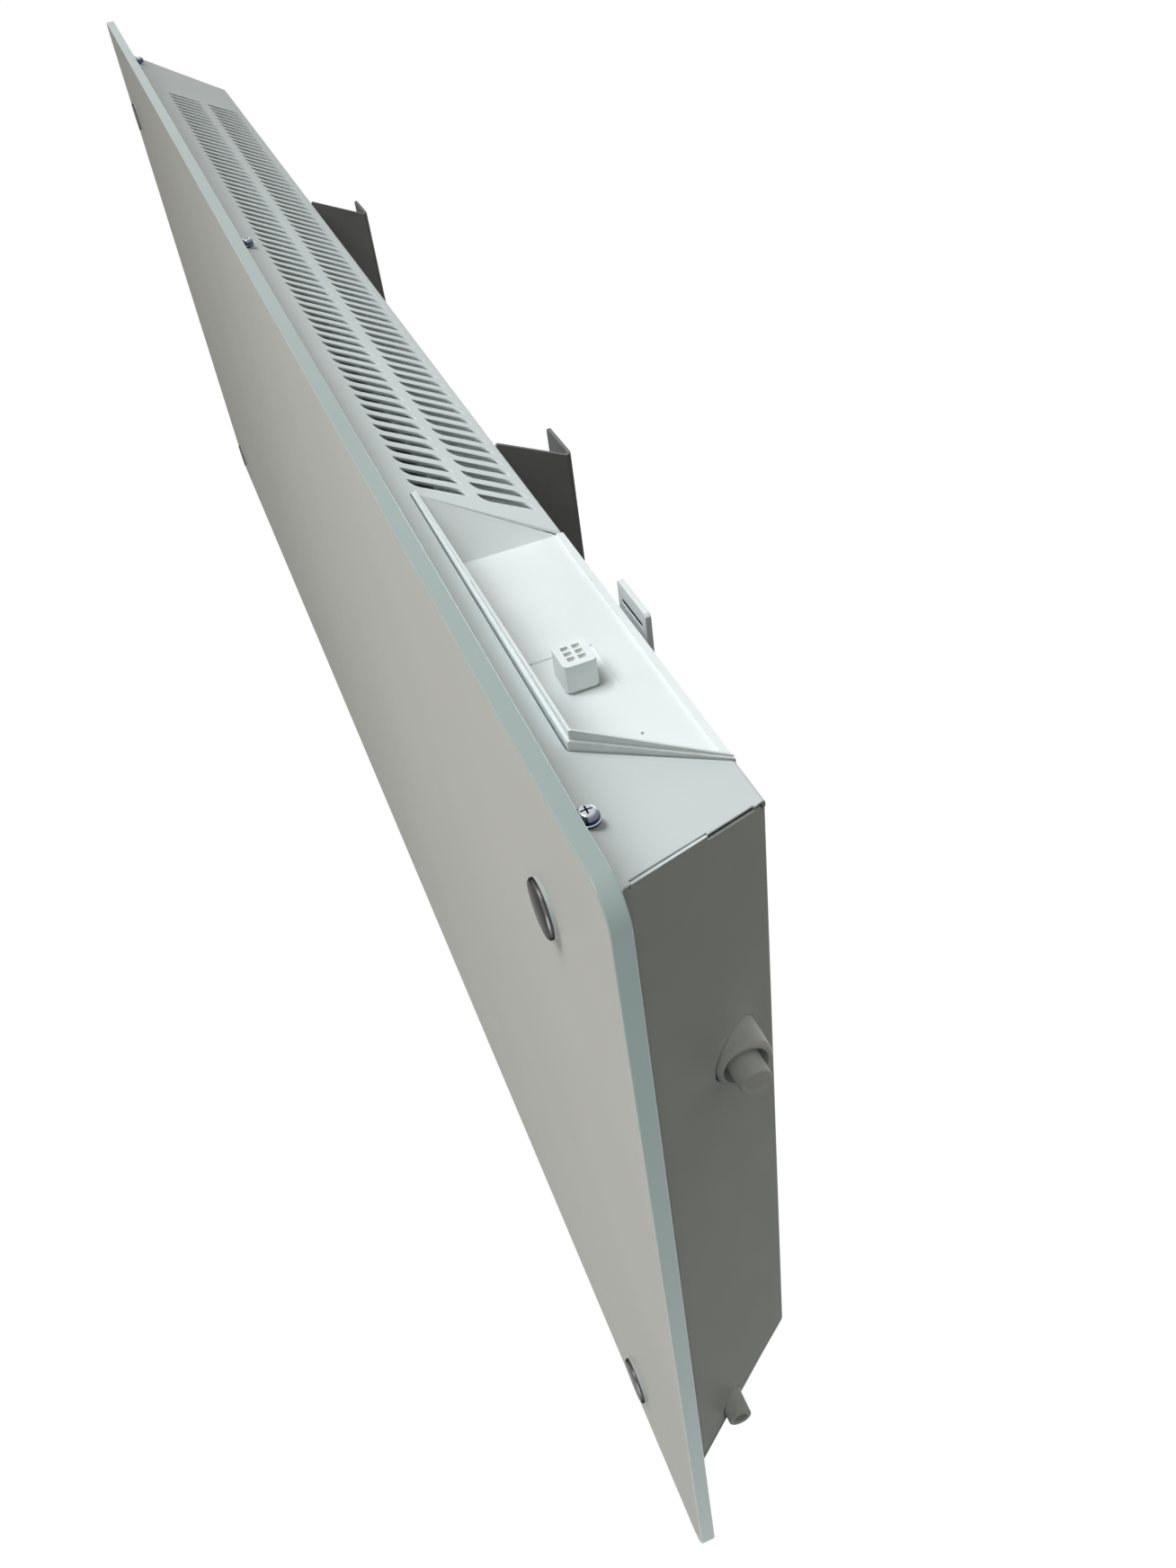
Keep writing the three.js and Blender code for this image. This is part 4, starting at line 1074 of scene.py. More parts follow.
@dataclass(frozen=True)
class Casing:
    """Sizes of the glass, of the sheet-steel casing and of what more than one piece has to meet.

    The switch and the bush are (depth, height, radius).
    """

    glass_half: float = 465.0
    glass_rise: float = 170.0
    glass_front: float = -91.0
    glass_back: float = -86.0
    front: float = -82.0
    rear: float = -29.3
    top: float = 150.3
    bottom: float = -151.0
    half: float = 444.3
    slope: float = math.radians(26.14)
    slant: float = math.radians(34.6)
    sheet: float = 1.0
    gap: float = 0.3
    front_bend: float = 1.5
    rear_bend: float = 2.5
    panel_bend: float = 2.5
    front_flange: float = 20.0
    rear_flange: float = 12.4
    end_front_flange: float = 14.0
    end_rear_flange: float = 12.0
    panel_edge: float = 0.2
    screw_hole: float = 2.0
    switch: Triple = (-47.2, 46.9, 8.7)
    bush: Triple = (-62.0, -144.6, 4.4)
    hook_levels: Flat = (80.0, -100.0)

    def roof_at(self, y: float) -> float:
        """Gives the height of the sloping top."""
        return self.top - (y - self.front) * math.tan(self.slope)

    def end_at(self, y: float) -> float:
        """Gives how far the slanted end reaches along the radiator."""
        return self.half - (y - self.front) * math.tan(self.slant)

    @property
    def rear_half(self) -> float:
        """Half the casing's length at its rear."""
        return self.end_at(self.rear)

    @property
    def front_cut(self) -> float:
        """How far the front flanges of the top and the bottom reach."""
        return self.half - self.end_front_flange - self.gap

    @property
    def rear_cut(self) -> float:
        """How far the rear flanges of the top and the bottom reach."""
        return self.rear_half - self.end_rear_flange - self.gap


@dataclass
class GlassFront:
    """The pane with its polished edges, the caps that hold it and the soft rings behind it."""

    casing: Casing
    corner: float = 10.0
    arris: float = 0.45
    least_facing: float = 0.98
    cap_x: float = 412.4
    cap_levels: Flat = (119.5, -138.0)
    cap_radius: float = 8.2
    cap_height: float = 2.0
    cap_disc: float = 1.2
    cap_bevel: Flat = (0.5, 0.45)
    cap_roundings: Triple = (0.2, 0.25, 0.1)
    stud: float = 3.0
    stud_reach: float = 8.0
    stud_rounding: float = 0.4
    washer_inset: float = 0.05
    washer_gap: float = 0.02
    ring_radius: float = 6.5
    ring_chamfer: float = 0.4

    def cap_places(self) -> list[Triple]:
        """Gives the places of the four caps on the wall plane."""
        return [(x, 0.0, z) for x in (self.cap_x, -self.cap_x) for z in self.cap_levels]

    def pane(self) -> None:
        """Builds the pane: one flat sheet with a fine arris, dressed as face, edge and paint."""
        c = self.casing
        line = FoldLine([(c.glass_half, c.glass_front), (-c.glass_half, c.glass_front)])
        plan = rectangle(0, -c.glass_rise, 2 * c.glass_half, c.glass_rise)
        outline = rounded_loop(plan, self.corner, steps=16)
        bore = self.stud + 2 * c.gap
        holes = [circle(c.glass_half - x, z, bore, sides=32) for x, _, z in self.cap_places()]
        sheet = FoldedSheet("glass_pane", line, Axis.Z, outline, c.glass_back - c.glass_front, self.arris,
                            holes)
        pane = sheet.build(GLASS_FACE, "heater", "glass_front")
        for finish in (GLASS_EDGE, GLASS_PAINT):
            pane.data.materials.append(finish.material())
        for polygon in pane.data.polygons:
            if abs(polygon.normal.y) < self.least_facing:
                polygon.material_index = 1
            elif polygon.normal.y > 0:
                polygon.material_index = 2

    def fixings(self) -> None:
        """Builds the caps with their washers, and the rings."""
        c = self.casing
        top = c.glass_front - c.gap - self.cap_height
        back = top + self.cap_disc
        stud_end = c.front + self.stud_reach
        run, rise = self.cap_bevel
        face, flank, rear = self.cap_roundings
        cap = turned("cap", [
            (0, top, 0), (self.cap_radius - run, top, face), (self.cap_radius, top + rise, flank),
            (self.cap_radius, back, rear), (self.stud, back, 0), (self.stud, stud_end, self.stud_rounding),
            (0, stud_end, 0)], Axis.Y, sides=72)
        repeat("glass_caps", cap, self.cap_places(), DARK_CHROME, "heater", four("glass_cap"))
        bore, edge = self.stud + c.gap, self.cap_radius - self.washer_inset
        foot = c.glass_front - self.washer_gap
        washer = turned("washer", [(bore, back, 0), (edge, back, 0), (edge, foot, 0), (bore, foot, 0)],
                        Axis.Y, sides=72)
        repeat("cap_washers", washer, self.cap_places(), SILICONE_GREY, "heater")
        low, high, cut = c.glass_back + c.gap, c.front + c.sheet, self.ring_chamfer
        ring = turned("ring", [
            (bore, low, 0), (self.ring_radius - cut, low, 0), (self.ring_radius, low + cut, 0),
            (self.ring_radius, high - cut, 0), (self.ring_radius - cut, high, 0), (bore, high, 0)],
            Axis.Y, sides=48)
        repeat("glass_spacers", ring, self.cap_places(), RUBBER, "heater", four("glass_spacer"))
        dress(ZINC_PLATE, *four("glass_nut"))

    def build(self) -> None:
        """Builds the sub-assembly."""
        self.pane()
        self.fixings()


@dataclass
class SlottedTop:
    """The folded top with its two rows of slots, and the pan-head screws on its front bend.

    A row is (left edge of its first slot, front end, rear end), and a hip step (depth, inset of the slanted
    edge before it, inset after it).
    """

    casing: Casing
    count: int = 64
    pitch: float = 9.13
    width: float = 4.7
    lean: float = math.radians(5)
    tip: float = 3.1
    tip_steps: int = 7
    rows: tuple[Triple, ...] = ((234.95, -72.2, -54.2), (238.15, -50.6, -32.9))
    edge: float = 0.25
    bay_right: float = 390.8
    bay_front: float = -73.8
    bay_far: Flat = (246.3, 260.7)
    bay_gap: float = 0.42
    bay_corners: tuple[float, ...] = (0.4, 0.8, 0.8, 0.0, 0.4)
    hip_steps: tuple[Triple, ...] = ((-78.0, 0.0, 1.25), (-52.0, 1.25, 0.62), (-34.0, 0.62, 0.0))
    front_corners: Triple = (0.4, 0.6, 0.4)
    rear_corners: Triple = (0.3, 0.6, 0.4)
    screw_x: Triple = (419.5, -11.0, -419.5)
    screw_seat: Flat = (-79.4, 149.69)
    screw_turn: float = 31.0
    screw: Screw = Screw("pan_head", (
        (0, 3.2, 0), (2.1, 3.0, 1.2), (3.05, 1.6, 0.7), (3.1, 0.75, 0.1), (3.4, 0.65, 0.1), (3.4, 0, 0.08)),
        shank=1.2, length=8.4, tip=0.3, recess=(1.5, 0.24, 1.8), axis=Axis.Z, sides=56, steps=6)

    def slot(self, line: FoldLine, left: float, front: float, rear: float) -> Loop:
        """Draws one leaf-shaped slot on the flat pattern.

        Args:
            line: The top's fold line.
            left: Where its left edge starts along the radiator.
            front: Its front end, measured to the wall.
            rear: Its rear end.

        Returns:
            The slot as a loop.
        """
        turns = [k / self.tip_steps * math.pi / 2 for k in range(self.tip_steps + 1)]
        plan = [(left + self.width * (1 - math.cos(t)), rear - self.tip * (1 - math.sin(t))) for t in turns]
        plan += [(left + self.width * math.cos(t), front + self.tip * (1 - math.sin(t))) for t in turns]
        return [(line.along(1, (y, self.casing.roof_at(y))), x + (y - front) * math.tan(self.lean))
                for x, y in plan]

    def outline(self, line: FoldLine) -> Loop:
        """Draws the outline of the flat pattern: slanted ends, set-back flanges and the notch for the tray.

        Args:
            line: The top's fold line.

        Returns:
            The outline with its corners rounded.
        """
        c = self.casing
        roof = [(y, c.roof_at(y)) for y, _, _ in self.hip_steps]
        front_shoulder = line.along(0, (c.front, c.top - 2 * c.front_bend))
        rear_shoulder = line.along(2, (c.rear, c.roof_at(c.rear) - c.rear_bend))
        front_bend = [s for s in line.stations if s < line.length / 2]
        rear_bend = [s for s in line.stations if s > line.length / 2]
        right: Loop = [(0.0, c.front_cut), (front_shoulder, c.front_cut), (front_shoulder, c.half)]
        right += [(s, c.end_at(line.place(s)[0].x)) for s in front_bend[::2]]
        for spot, (y, *insets) in zip(roof, self.hip_steps):
            right += [(line.along(1, spot), c.end_at(y) - inset) for inset in insets]
        right += [(s, c.end_at(line.place(s)[0].x)) for s in rear_bend[::2]]
        right += [(rear_shoulder, c.rear_half), (rear_shoulder, c.rear_cut), (line.length, c.rear_cut)]
        far_front, far_rear = self.bay_far
        front, near = self.bay_front - self.bay_gap, self.bay_right + c.gap
        notch_front = line.along(1, (front, c.roof_at(front)))
        notch = [(line.length, near), (notch_front, near), (notch_front, far_front - c.gap),
                 (rear_bend[0], far_rear - 2 * c.gap), (line.length, far_rear - c.gap)]
        left = [(s, -x) for s, x in reversed(right)]
        straight = [0.0] * (len(right) - len(self.front_corners) - len(self.rear_corners))
        radii = [*self.front_corners, *straight, *self.rear_corners]
        return rounded_loop(right + notch + left, [*radii, *self.bay_corners, *radii[::-1]], steps=3)

    def build(self) -> None:
        """Builds the top and its screws."""
        c = self.casing
        fold = (c.rear, c.roof_at(c.rear))
        line = FoldLine([(c.front, c.top - c.front_flange), (c.front, c.top), fold,
                         (c.rear, fold[1] - c.rear_flange)], [c.front_bend, c.rear_bend])
        rows = [self.slot(line, *row) for row in self.rows]
        top = FoldedSheet("slotted_top", line, Axis.X, self.outline(line), c.sheet, self.edge, rows=rows,
                          count=self.count, pitch=self.pitch)
        top.build(ENAMEL_WHITE, "heater", "top_cover")
        repeat("top_screws", self.screw.build(), [(x, *self.screw_seat) for x in self.screw_x], BRIGHT_CHROME,
               "heater", [f"top_screw_{place}" for place in ("right", "middle", "left")],
               (0.0, 0.0, self.screw_turn))


@dataclass
class CasingShell:
    """The slanted end panels, the bottom, the rear panel and the screws and buffers on the rear.

    The seam is (its front end, its rear end, its width), an inlet (length, width, corner), a hook slot (half
    width, reach below the hook, reach above it, corner) and the earth screw's hole (place, height).
    """

    casing: Casing
    seam: Triple = (-78.0, -52.0, 0.15)
    seam_step: float = 0.01
    upper_edge_points: int = 90
    bottom_flange: float = 6.0
    bottom_notch: float = 0.8
    bottom_ends: Flat = (0.5, -0.6)
    bottom_corner: float = 0.4
    inlet_count: int = 24
    inlet_pitch: float = 26.0
    inlet_rows: Flat = (-69.0, -45.0)
    inlet_middle: float = -40.0
    inlet: Triple = (20.0, 6.0, 1.5)
    rear_corner: float = 1.0
    screw_levels: Flat = (90.0, -120.0)
    screw_inset: float = 7.5
    screw: tuple[float, float, float, float] = (3.0, 1.8, 1.7, 6.0)
    screw_turn: float = 37.0
    earth_hole: Flat = (375.0, -85.0)
    hook_x: Flat = (187.25, -134.15)
    hook_slot: tuple[float, float, float, float] = (1.55, 18.6, 0.3, 0.8)
    buffer_level: float = -60.0
    buffer_hole: float = 2.3
    buffer_pad: float = 5.0
    buffer_stem: float = 2.0
    buffer_roundings: Triple = (0.35, 0.1, 0.3)

    def under_roof(self, y: float) -> float:
        """Gives the height of an end panel's upper edge: beside the top's edge in front, then under it.

        Args:
            y: The depth.

        Returns:
            The height.
        """
        c = self.casing
        depth = c.sheet + c.gap
        if y < c.front + depth:
            return c.top - 2 * c.front_bend - c.gap
        if y > c.rear - depth:
            return c.roof_at(c.rear) - c.rear_bend - c.gap
        front, back, width = self.seam
        return c.roof_at(y) - (width if front < y < back else depth / math.cos(c.slope))

    def opening(self, line: FoldLine, fitting: Triple, sides: int) -> Loop:
        """Draws the opening that a round fitting level with the radiator needs in the slanted end.

        Args:
            line: The fold line of the end panel.
            fitting: The fitting's depth, height and radius.
            sides: Segments round the opening.

        Returns:
            The opening as a loop.
        """
        c = self.casing
        y, z, radius = fitting
        grown = radius + c.gap
        return ellipse(line.along(1, (c.end_at(y), y)), z, grown / math.cos(c.slant), grown, sides)

    def end_panel(self, side: int) -> None:
        """Builds one end panel.

        Args:
            side: 1 for the right-hand one, with the switch, and -1 for the other.
        """
        c = self.casing
        line = FoldLine([(c.rear_half - c.end_rear_flange, c.rear), (c.rear_half, c.rear), (c.half, c.front),
                         (c.half - c.end_front_flange, c.front)], [c.panel_bend, c.panel_bend])
        low = c.bottom + c.sheet + c.gap
        stations = [line.length * k / self.upper_edge_points for k in range(self.upper_edge_points + 1)]
        for y in self.seam[:2]:
            s = line.along(1, (c.end_at(y), y))
            stations += [s - self.seam_step, s + self.seam_step]
        outline = [(0.0, low), (line.length, low)]
        inset = c.end_rear_flange - self.screw_inset
        holes = [circle(inset, z, c.screw_hole, sides=20) for z in self.screw_levels]
        name, node = "end_panel_far_side", "end_panel_left"
        if side > 0:
            name, node = "end_panel_switch_side", "end_panel_right"
            holes.insert(0, self.opening(line, c.switch, sides=48))
            ring = self.opening(line, c.bush, sides=32)
            arch = ring[len(ring) // 2::-1]
            outline[1:1] = [(arch[0][0], low), *arch, (arch[-1][0], low)]
        outline += [(s, self.under_roof(line.place(s)[0].y)) for s in sorted(stations, reverse=True)]
        panel = FoldedSheet(name, line, Axis.Z, outline, c.sheet, c.panel_edge, holes, side=side)
        panel.build(ENAMEL_WHITE, "heater", node)

    def bottom(self) -> None:
        """Builds the bottom with its rows of air inlets."""
        c = self.casing
        high = c.bottom + self.bottom_flange
        line = FoldLine([(c.rear, high), (c.rear, c.bottom), (c.front, c.bottom), (c.front, high)],
                        [c.panel_bend, c.panel_bend], steps=6)
        rear = line.along(1, (c.rear - c.panel_bend, c.bottom)) - self.bottom_notch
        front = line.along(1, (c.front + c.panel_bend, c.bottom)) + self.bottom_notch
        rear_end, front_end = self.bottom_ends
        right = [(0.0, c.rear_cut), (rear, c.rear_cut), (rear, c.rear_half + rear_end),
                 (front, c.half + front_end), (front, c.front_cut), (line.length, c.front_cut)]
        outline = rounded_loop(right + [(s, -x) for s, x in reversed(right)], self.bottom_corner, steps=3)
        length, width, corner = self.inlet
        first = self.inlet_middle + (self.inlet_count - 1) / 2 * self.inlet_pitch
        rows = []
        for y in self.inlet_rows:
            s = line.along(1, (y, c.bottom))
            rows.append(rounded_loop(
                rectangle(s - width / 2, first - length / 2, s + width / 2, first + length / 2),
                corner, steps=4))
        bottom = FoldedSheet("bottom_with_inlets", line, Axis.X, outline, c.sheet, c.panel_edge, rows=rows,
                             count=self.inlet_count, pitch=self.inlet_pitch)
        bottom.build(ENAMEL_WHITE, "heater", "bottom_panel")

    def rear(self) -> None:
        """Builds the rear panel with its hook slots, and the screws and buffers on it."""
        c = self.casing
        half, y = span("rear_panel", Axis.X)[1], span("rear_panel", Axis.Y)[1]
        low, high = span("rear_panel", Axis.Z)
        screw_x = c.rear_half - self.screw_inset
        width, below, above, corner = self.hook_slot
        holes = []
        for x in self.hook_x:
            for level in c.hook_levels:
                slot = rectangle(half + x - width, level - below, half + x + width, level + above)
                holes.append(rounded_loop(slot, corner, steps=3))
            holes.append(circle(half + x, self.buffer_level, self.buffer_hole, sides=24))
        places = [(x, z) for x in (screw_x, -screw_x) for z in self.screw_levels]
        holes += [circle(half + x, z, c.screw_hole, sides=20) for x, z in [*places, self.earth_hole]]
        outline = rounded_loop(rectangle(0, low, 2 * half, high), self.rear_corner, steps=4)
        panel = FoldedSheet("rear_panel_sheet", FoldLine([(-half, y), (half, y)]), Axis.Z, outline, c.sheet,
                            c.panel_edge, holes)
        panel.build(ENAMEL_WHITE, "heater", "rear_panel")
        repeat("casing_screws", small_screw("casing_screw", *self.screw, 1),
               [(x, c.rear + c.gap, z) for x, z in places], ZINC_PLATE, "heater", four("casing_screw"),
               (0.0, self.screw_turn, 0.0))
        tip, back = span("rear_buffer_right", Axis.Y)
        foot = y + c.gap
        outer, inner, end = self.buffer_roundings
        pad = turned("buffer", [
            (0, back, 0), (self.buffer_pad, back, outer), (self.buffer_pad, foot, inner),
            (self.buffer_stem, foot, 0), (self.buffer_stem, tip, end), (0, tip, 0)], Axis.Y, sides=40)
        repeat("rear_buffers", pad, [(x, 0.0, self.buffer_level) for x in self.hook_x], RUBBER, "heater",
               ("rear_buffer_right", "rear_buffer_left"))

    def build(self) -> None:
        """Builds the sub-assembly."""
        self.end_panel(1)
        self.end_panel(-1)
        self.bottom()
        self.rear()
        dress(ENAMEL_WHITE, "front_plate")


@dataclass
class ControlBay:
    """The tray that the control unit plugs into, its socket block, and the catch behind it, with a black box
    as painted shade in its slot.

    The pinhole and the corner are (place, depth, radius), the recess (left, right, front, rear), and a
    funnel (length, width, depth).
    """

    floor: float = 124.0
    tray_rounding: float = 0.25
    recess: tuple[float, float, float, float] = (323.0, 346.5, -70.2, -43.6)
    recess_depth: float = 0.6
    pinhole: Triple = (368.2, -46.4, 0.5)
    pinhole_depth: float = 3.0
    corner: Triple = (389.0, -31.5, 5.0)
    corner_steps: int = 8
    corner_levels: Flat = (-0.5, 0.8)
    block_rounding: float = 0.22
    contacts: Triple = (336.5, -53.4, 133.4)
    contact_pitch: Flat = (2.7, 3.4)
    funnel: Triple = (1.75, 2.35, 0.9)
    catch_rounding: float = 0.3
    # painted shade: corners of a black box inside the catch's slot, put there to darken it
    painted_shade_box: tuple[Triple, Triple] = ((300.85, -24.8, 119.25), (316.75, -23.15, 120.75))

    def tray(self) -> None:
        """Builds the tray with softened edges, the shallow recess round the block and the pinhole."""
        tray = boolean(node_copy("control_tray", "moulded_tray"), Join.FUSE, self.corner_fill())
        rounded(tray, self.tray_rounding)
        left, right, front, rear = self.recess
        x, y, radius = self.pinhole
        low, high = self.floor - self.pinhole_depth, self.floor + OVERRUN
        pin = turned("pin", [(0, low, 0), (radius, low, 0), (radius, high, 0), (0, high, 0)], Axis.Z,
                     sides=16, centre=(x, y, 0))
        pocket = box_object("recess", (left, front, self.floor - self.recess_depth), (right, rear, high))
        weigh_normals(boolean(tray, Join.CUT, pocket, pin))
        seat(tray, PLASTIC_WHITE, "heater", "control_tray")

    def corner_fill(self) -> Object:
        """Makes the rounded inner corner where the near rim meets the rear lip.

        Returns:
            A closed mesh, to be fused with the tray.
        """
        x, y, radius = self.corner
        plan = [(x + OVERRUN, y + OVERRUN), (x + OVERRUN, y - radius)]
        plan += circle(x - radius, y - radius, radius, 4 * self.corner_steps)[:self.corner_steps + 1]
        plan.append((x - radius, y + OVERRUN))
        bm = bmesh.new()
        lower, upper = ([bm.verts.new(Vector((a, b, self.floor + level)) * MM) for a, b in plan]
                        for level in self.corner_levels)
        bm.faces.new(lower)
        bm.faces.new(upper)
        for i in range(len(plan)):
            bm.faces.new((lower[i - 1], lower[i], upper[i], upper[i - 1]))
        bmesh.ops.recalc_face_normals(bm, faces=bm.faces)
        return mesh_object("corner_fill", bm)

    def funnels(self) -> list[Object]:
        """Makes the shallow lead-ins of the six contact slots, as cutting tools.

        Returns:
            Six boxes.
        """
        middle_x, middle_y, top = self.contacts
        pitch_x, pitch_y = self.contact_pitch
        length, width, depth = self.funnel
        tools = []
        for x in (middle_x - pitch_x, middle_x, middle_x + pitch_x):
            for y in (middle_y - pitch_y / 2, middle_y + pitch_y / 2):
                tools.append(box_object("funnel", (x - length / 2, y - width / 2, top - depth),
                                        (x + length / 2, y + width / 2, top + OVERRUN)))
        return tools

    def build(self) -> None:
        """Builds the sub-assembly."""
        self.tray()
        block = boolean(node_copy("socket_block", "socket_housing"), Join.CUT, *self.funnels())
        seat(rounded(block, self.block_rounding), PLASTIC_WHITE, "heater", "socket_block")
        catch = rounded(node_copy("module_catch", "catch_tab"), self.catch_rounding)
        seat(catch, PLASTIC_WHITE, "catch", "module_catch")
        # painted shade: a black box in the catch's slot, which makes the slot read dark
        seat(box_object("slot_blade", *self.painted_shade_box), NYLON_BLACK, "catch")
        dress(DRAWN_BRASS, "socket_contacts")
        dress(ZINC_PLATE, "catch_bracket", "catch_pin")


@dataclass
class EndFittings:
    """The switch collar with its button, and the cord bush, on the right-hand end."""

    casing: Casing
    soft: float = 0.2
    crisp: float = 0.1
    collar_lead: Triple = (8.0, 1.2, 0.5)
    collar_lead_rounding: float = 0.3
    collar_mouth: float = 6.9
    collar_mouth_rounding: float = 0.25
    collar_mouth_depth: float = 6.0
    collar_taper: float = 0.6
    collar_bore: float = 6.0
    collar_chamber: float = 7.0
    collar_chamber_end: float = 9.6
    collar_wall: float = 2.0
    collar_stem_hole: float = 2.8
    button_radius: float = 5.0
    button_rounding: float = 0.55
    button_face: Flat = (1.3, 1.7)
    button_dish: float = 0.25
    button_face_rounding: float = 0.15
    button_stem: Flat = (2.5, 8.0)
    button_flange: Flat = (6.7, 2.0)
    bush_bore: float = 2.6
    bush_roundings: Flat = (0.6, 0.5)

    def collar(self) -> None:
        """Builds the collar."""
        y, z, radius = self.casing.switch
        low, high = span("switch_collar", Axis.X)
        lead_radius, lead, lead_start = self.collar_lead
        throat = high - self.collar_mouth_depth
        chamber, wall = low + self.collar_chamber_end, low + self.collar_wall
        collar = turned("switch_hood", [
            (self.collar_stem_hole, low, 0), (radius, low, self.soft), (radius, high - lead, lead_start),
            (lead_radius, high, self.collar_lead_rounding),
            (self.collar_mouth, high, self.collar_mouth_rounding), (self.collar_mouth, throat, self.crisp),
            (self.collar_bore, throat - self.collar_taper, self.crisp),
            (self.collar_bore, chamber, self.crisp), (self.collar_chamber, chamber, 0),
            (self.collar_chamber, wall, 0),
            (self.collar_stem_hole, wall, 0)], Axis.X, 80, 5, (0.0, y, z))
        seat(collar, PLASTIC_WHITE, "heater", "switch_collar")

    def button(self) -> None:
        """Builds the push button with its dished face, its flange and its stem."""
        y, z, _ = self.casing.switch
        start, end = span("switch_button", Axis.X)
        stem, stem_length = self.button_stem
        flange, flange_length = self.button_flange
        foot = start + stem_length
        head = foot + flange_length
        rim, dish = (self.button_radius - inset for inset in self.button_face)
        face = end - self.button_dish
        button = turned("push_button", [
            (0, start, 0), (stem, start, self.soft), (stem, foot, 0), (flange, foot, self.soft),
            (flange, head, self.soft), (self.button_radius, head, 0),
            (self.button_radius, end, self.button_rounding), (rim, end, self.button_face_rounding),
            (dish, face, self.button_face_rounding), (0, face, 0)], Axis.X, 72, 5, (0.0, y, z))
        seat(button, PLASTIC_WHITE, "button", "switch_button")

    def bush(self) -> None:
        """Builds the cord bush."""
        y, z, radius = self.casing.bush
        start, end = span("cord_bush", Axis.X)
        outer, inner = self.bush_roundings
        bush = turned("cord_inlet_bush", [
            (self.bush_bore, start, 0), (radius, start, self.soft), (radius, end, outer),
            (self.bush_bore, end, inner)], Axis.X, 64, 5, (0.0, y, z))
        seat(bush, PLASTIC_WHITE, "heater", "cord_bush")

    def build(self) -> None:
        """Builds the sub-assembly."""
        self.collar()
        self.button()
        self.bush()
        dress(NYLON_BLACK, "switch_body")


@dataclass
class WallBracket:
    """The two dark arms with their hooks, the rail between them and the wall screws.

    The hook's corners are the roundings of its outline from its root below to its root above.
    """

    casing: Casing
    sheet: float = 1.5
    edge: float = 0.3
    bend: float = 2.5
    near_arm: float = 188.0
    far_arm: float = -133.4
    web: float = 26.0
    web_top: float = 111.68
    arm_bottom: float = -125.0
    foot_corner: float = 2.0
    hook_thick: float = 6.0
    hook_nose: float = 8.0
    nose_depth: float = 3.0
    hook_corners: tuple[float, ...] = (0.0, 0.6, 1.2, 1.2, 0.5, 0.0)
    top_corners: Triple = (0.8, 0.6, 2.0)
    notch_overlap: float = 1.2
    rail_half: float = 25.0
    rail_overlap: float = 22.0
    rail_corner: float = 3.0
    joggle_run: float = 2.5
    joggle_radius: float = 2.0
    screw_hole: float = 2.5
    screw_level: float = 90.0
    screw: Triple = (4.5, 2.6, 2.2)
    screw_turn: float = 41.0

    def arm(self, name: str, node: str, place: float, notched: bool) -> None:
        """Builds one arm: a web on the wall, a flange towards the heater and hooks on its edge.

        Args:
            name: Name of the piece.
            node: The node that it stands for.
            place: Where its outer face lies along the radiator.
            notched: Whether the rail passes through its flange.
        """
        c = self.casing
        edge = c.rear + c.gap
        inside = c.rear - 2 * (c.sheet + c.gap)
        line = FoldLine([(place - self.web, 0), (place, 0), (place, edge)], [self.bend], steps=8)
        flange, nose, tip, notch_end = (line.along(1, (place, y)) for y in (
            edge, inside, inside - self.nose_depth, -2 * (self.sheet + c.gap)))
        outline = [(0.0, self.arm_bottom), (flange, self.arm_bottom)]
        for level in sorted(c.hook_levels):
            foot, top = level - self.hook_thick, level + self.hook_nose
            outline += [(flange, foot), (tip, foot), (tip, top), (nose, top), (nose, level), (flange, level)]
        outline += [(flange, c.roof_at(edge)), (line.stations[-1], self.web_top), (0.0, self.web_top)]
        radii = [self.foot_corner] * 2 + [*self.hook_corners] * 2 + [*self.top_corners]
        holes = [circle(self.web / 2, z, self.screw_hole, sides=24) for z in (0.0, self.screw_level)]
        if notched:
            half = self.rail_half + c.gap
            holes.append(rectangle(line.stations[-1] - self.notch_overlap, -half, notch_end, half))
        outline = rounded_loop(outline, radii, steps=4)
        arm = FoldedSheet(name, line, Axis.Z, outline, self.sheet, self.edge, holes)
        arm.build(BRACKET_COAT, "bracket", node)

    def rail(self) -> None:
        """Builds the rail, whose ends step over the webs of the arms."""
        gap = self.casing.gap
        up = -self.sheet - gap
        near_web = self.near_arm - self.web
        far, near = self.far_arm + 2 * gap, near_web - 2 * gap
        line = FoldLine([
            (self.far_arm - self.rail_overlap, up), (far, up), (far + self.joggle_run, 0),
            (near - self.joggle_run, 0), (near, up), (near_web + self.rail_overlap, up)],
            [self.joggle_radius] * 4, steps=4)
        plan = rectangle(0, -self.rail_half, line.length, self.rail_half)
        holes = [circle(line.along(straight, (x - self.web / 2, up)), 0.0, self.screw_hole, sides=24)
                 for straight, x in ((0, self.far_arm), (4, self.near_arm))]
        rail = FoldedSheet("bracket_cross_rail", line, Axis.Z, rounded_loop(plan, self.rail_corner, steps=5),
                           self.sheet, self.edge, holes)
        rail.build(BRACKET_COAT, "bracket", "bracket_rail")

    def build(self) -> None:
        """Builds the sub-assembly."""
        self.arm("bracket_arm_near", "bracket_arm_right", self.near_arm, notched=False)
        self.arm("bracket_arm_far", "bracket_arm_left", self.far_arm, notched=True)
        self.rail()
        gap = self.casing.gap
        for level, sheets, z in (("upper", 1, self.screw_level), ("lower", 2, 0.0)):
            depth = sheets * (self.sheet + gap)
            head = small_screw("wall_screw", *self.screw, depth - gap, -1)
            places = [(x - self.web / 2, -depth, z) for x in (self.near_arm, self.far_arm)]
            nodes = [f"wall_screw_{side}_{level}" for side in ("right", "left")]
            repeat(f"wall_screws_{level}", head, places, ZINC_PLATE, "bracket", nodes,
                   (0.0, self.screw_turn, 0.0))


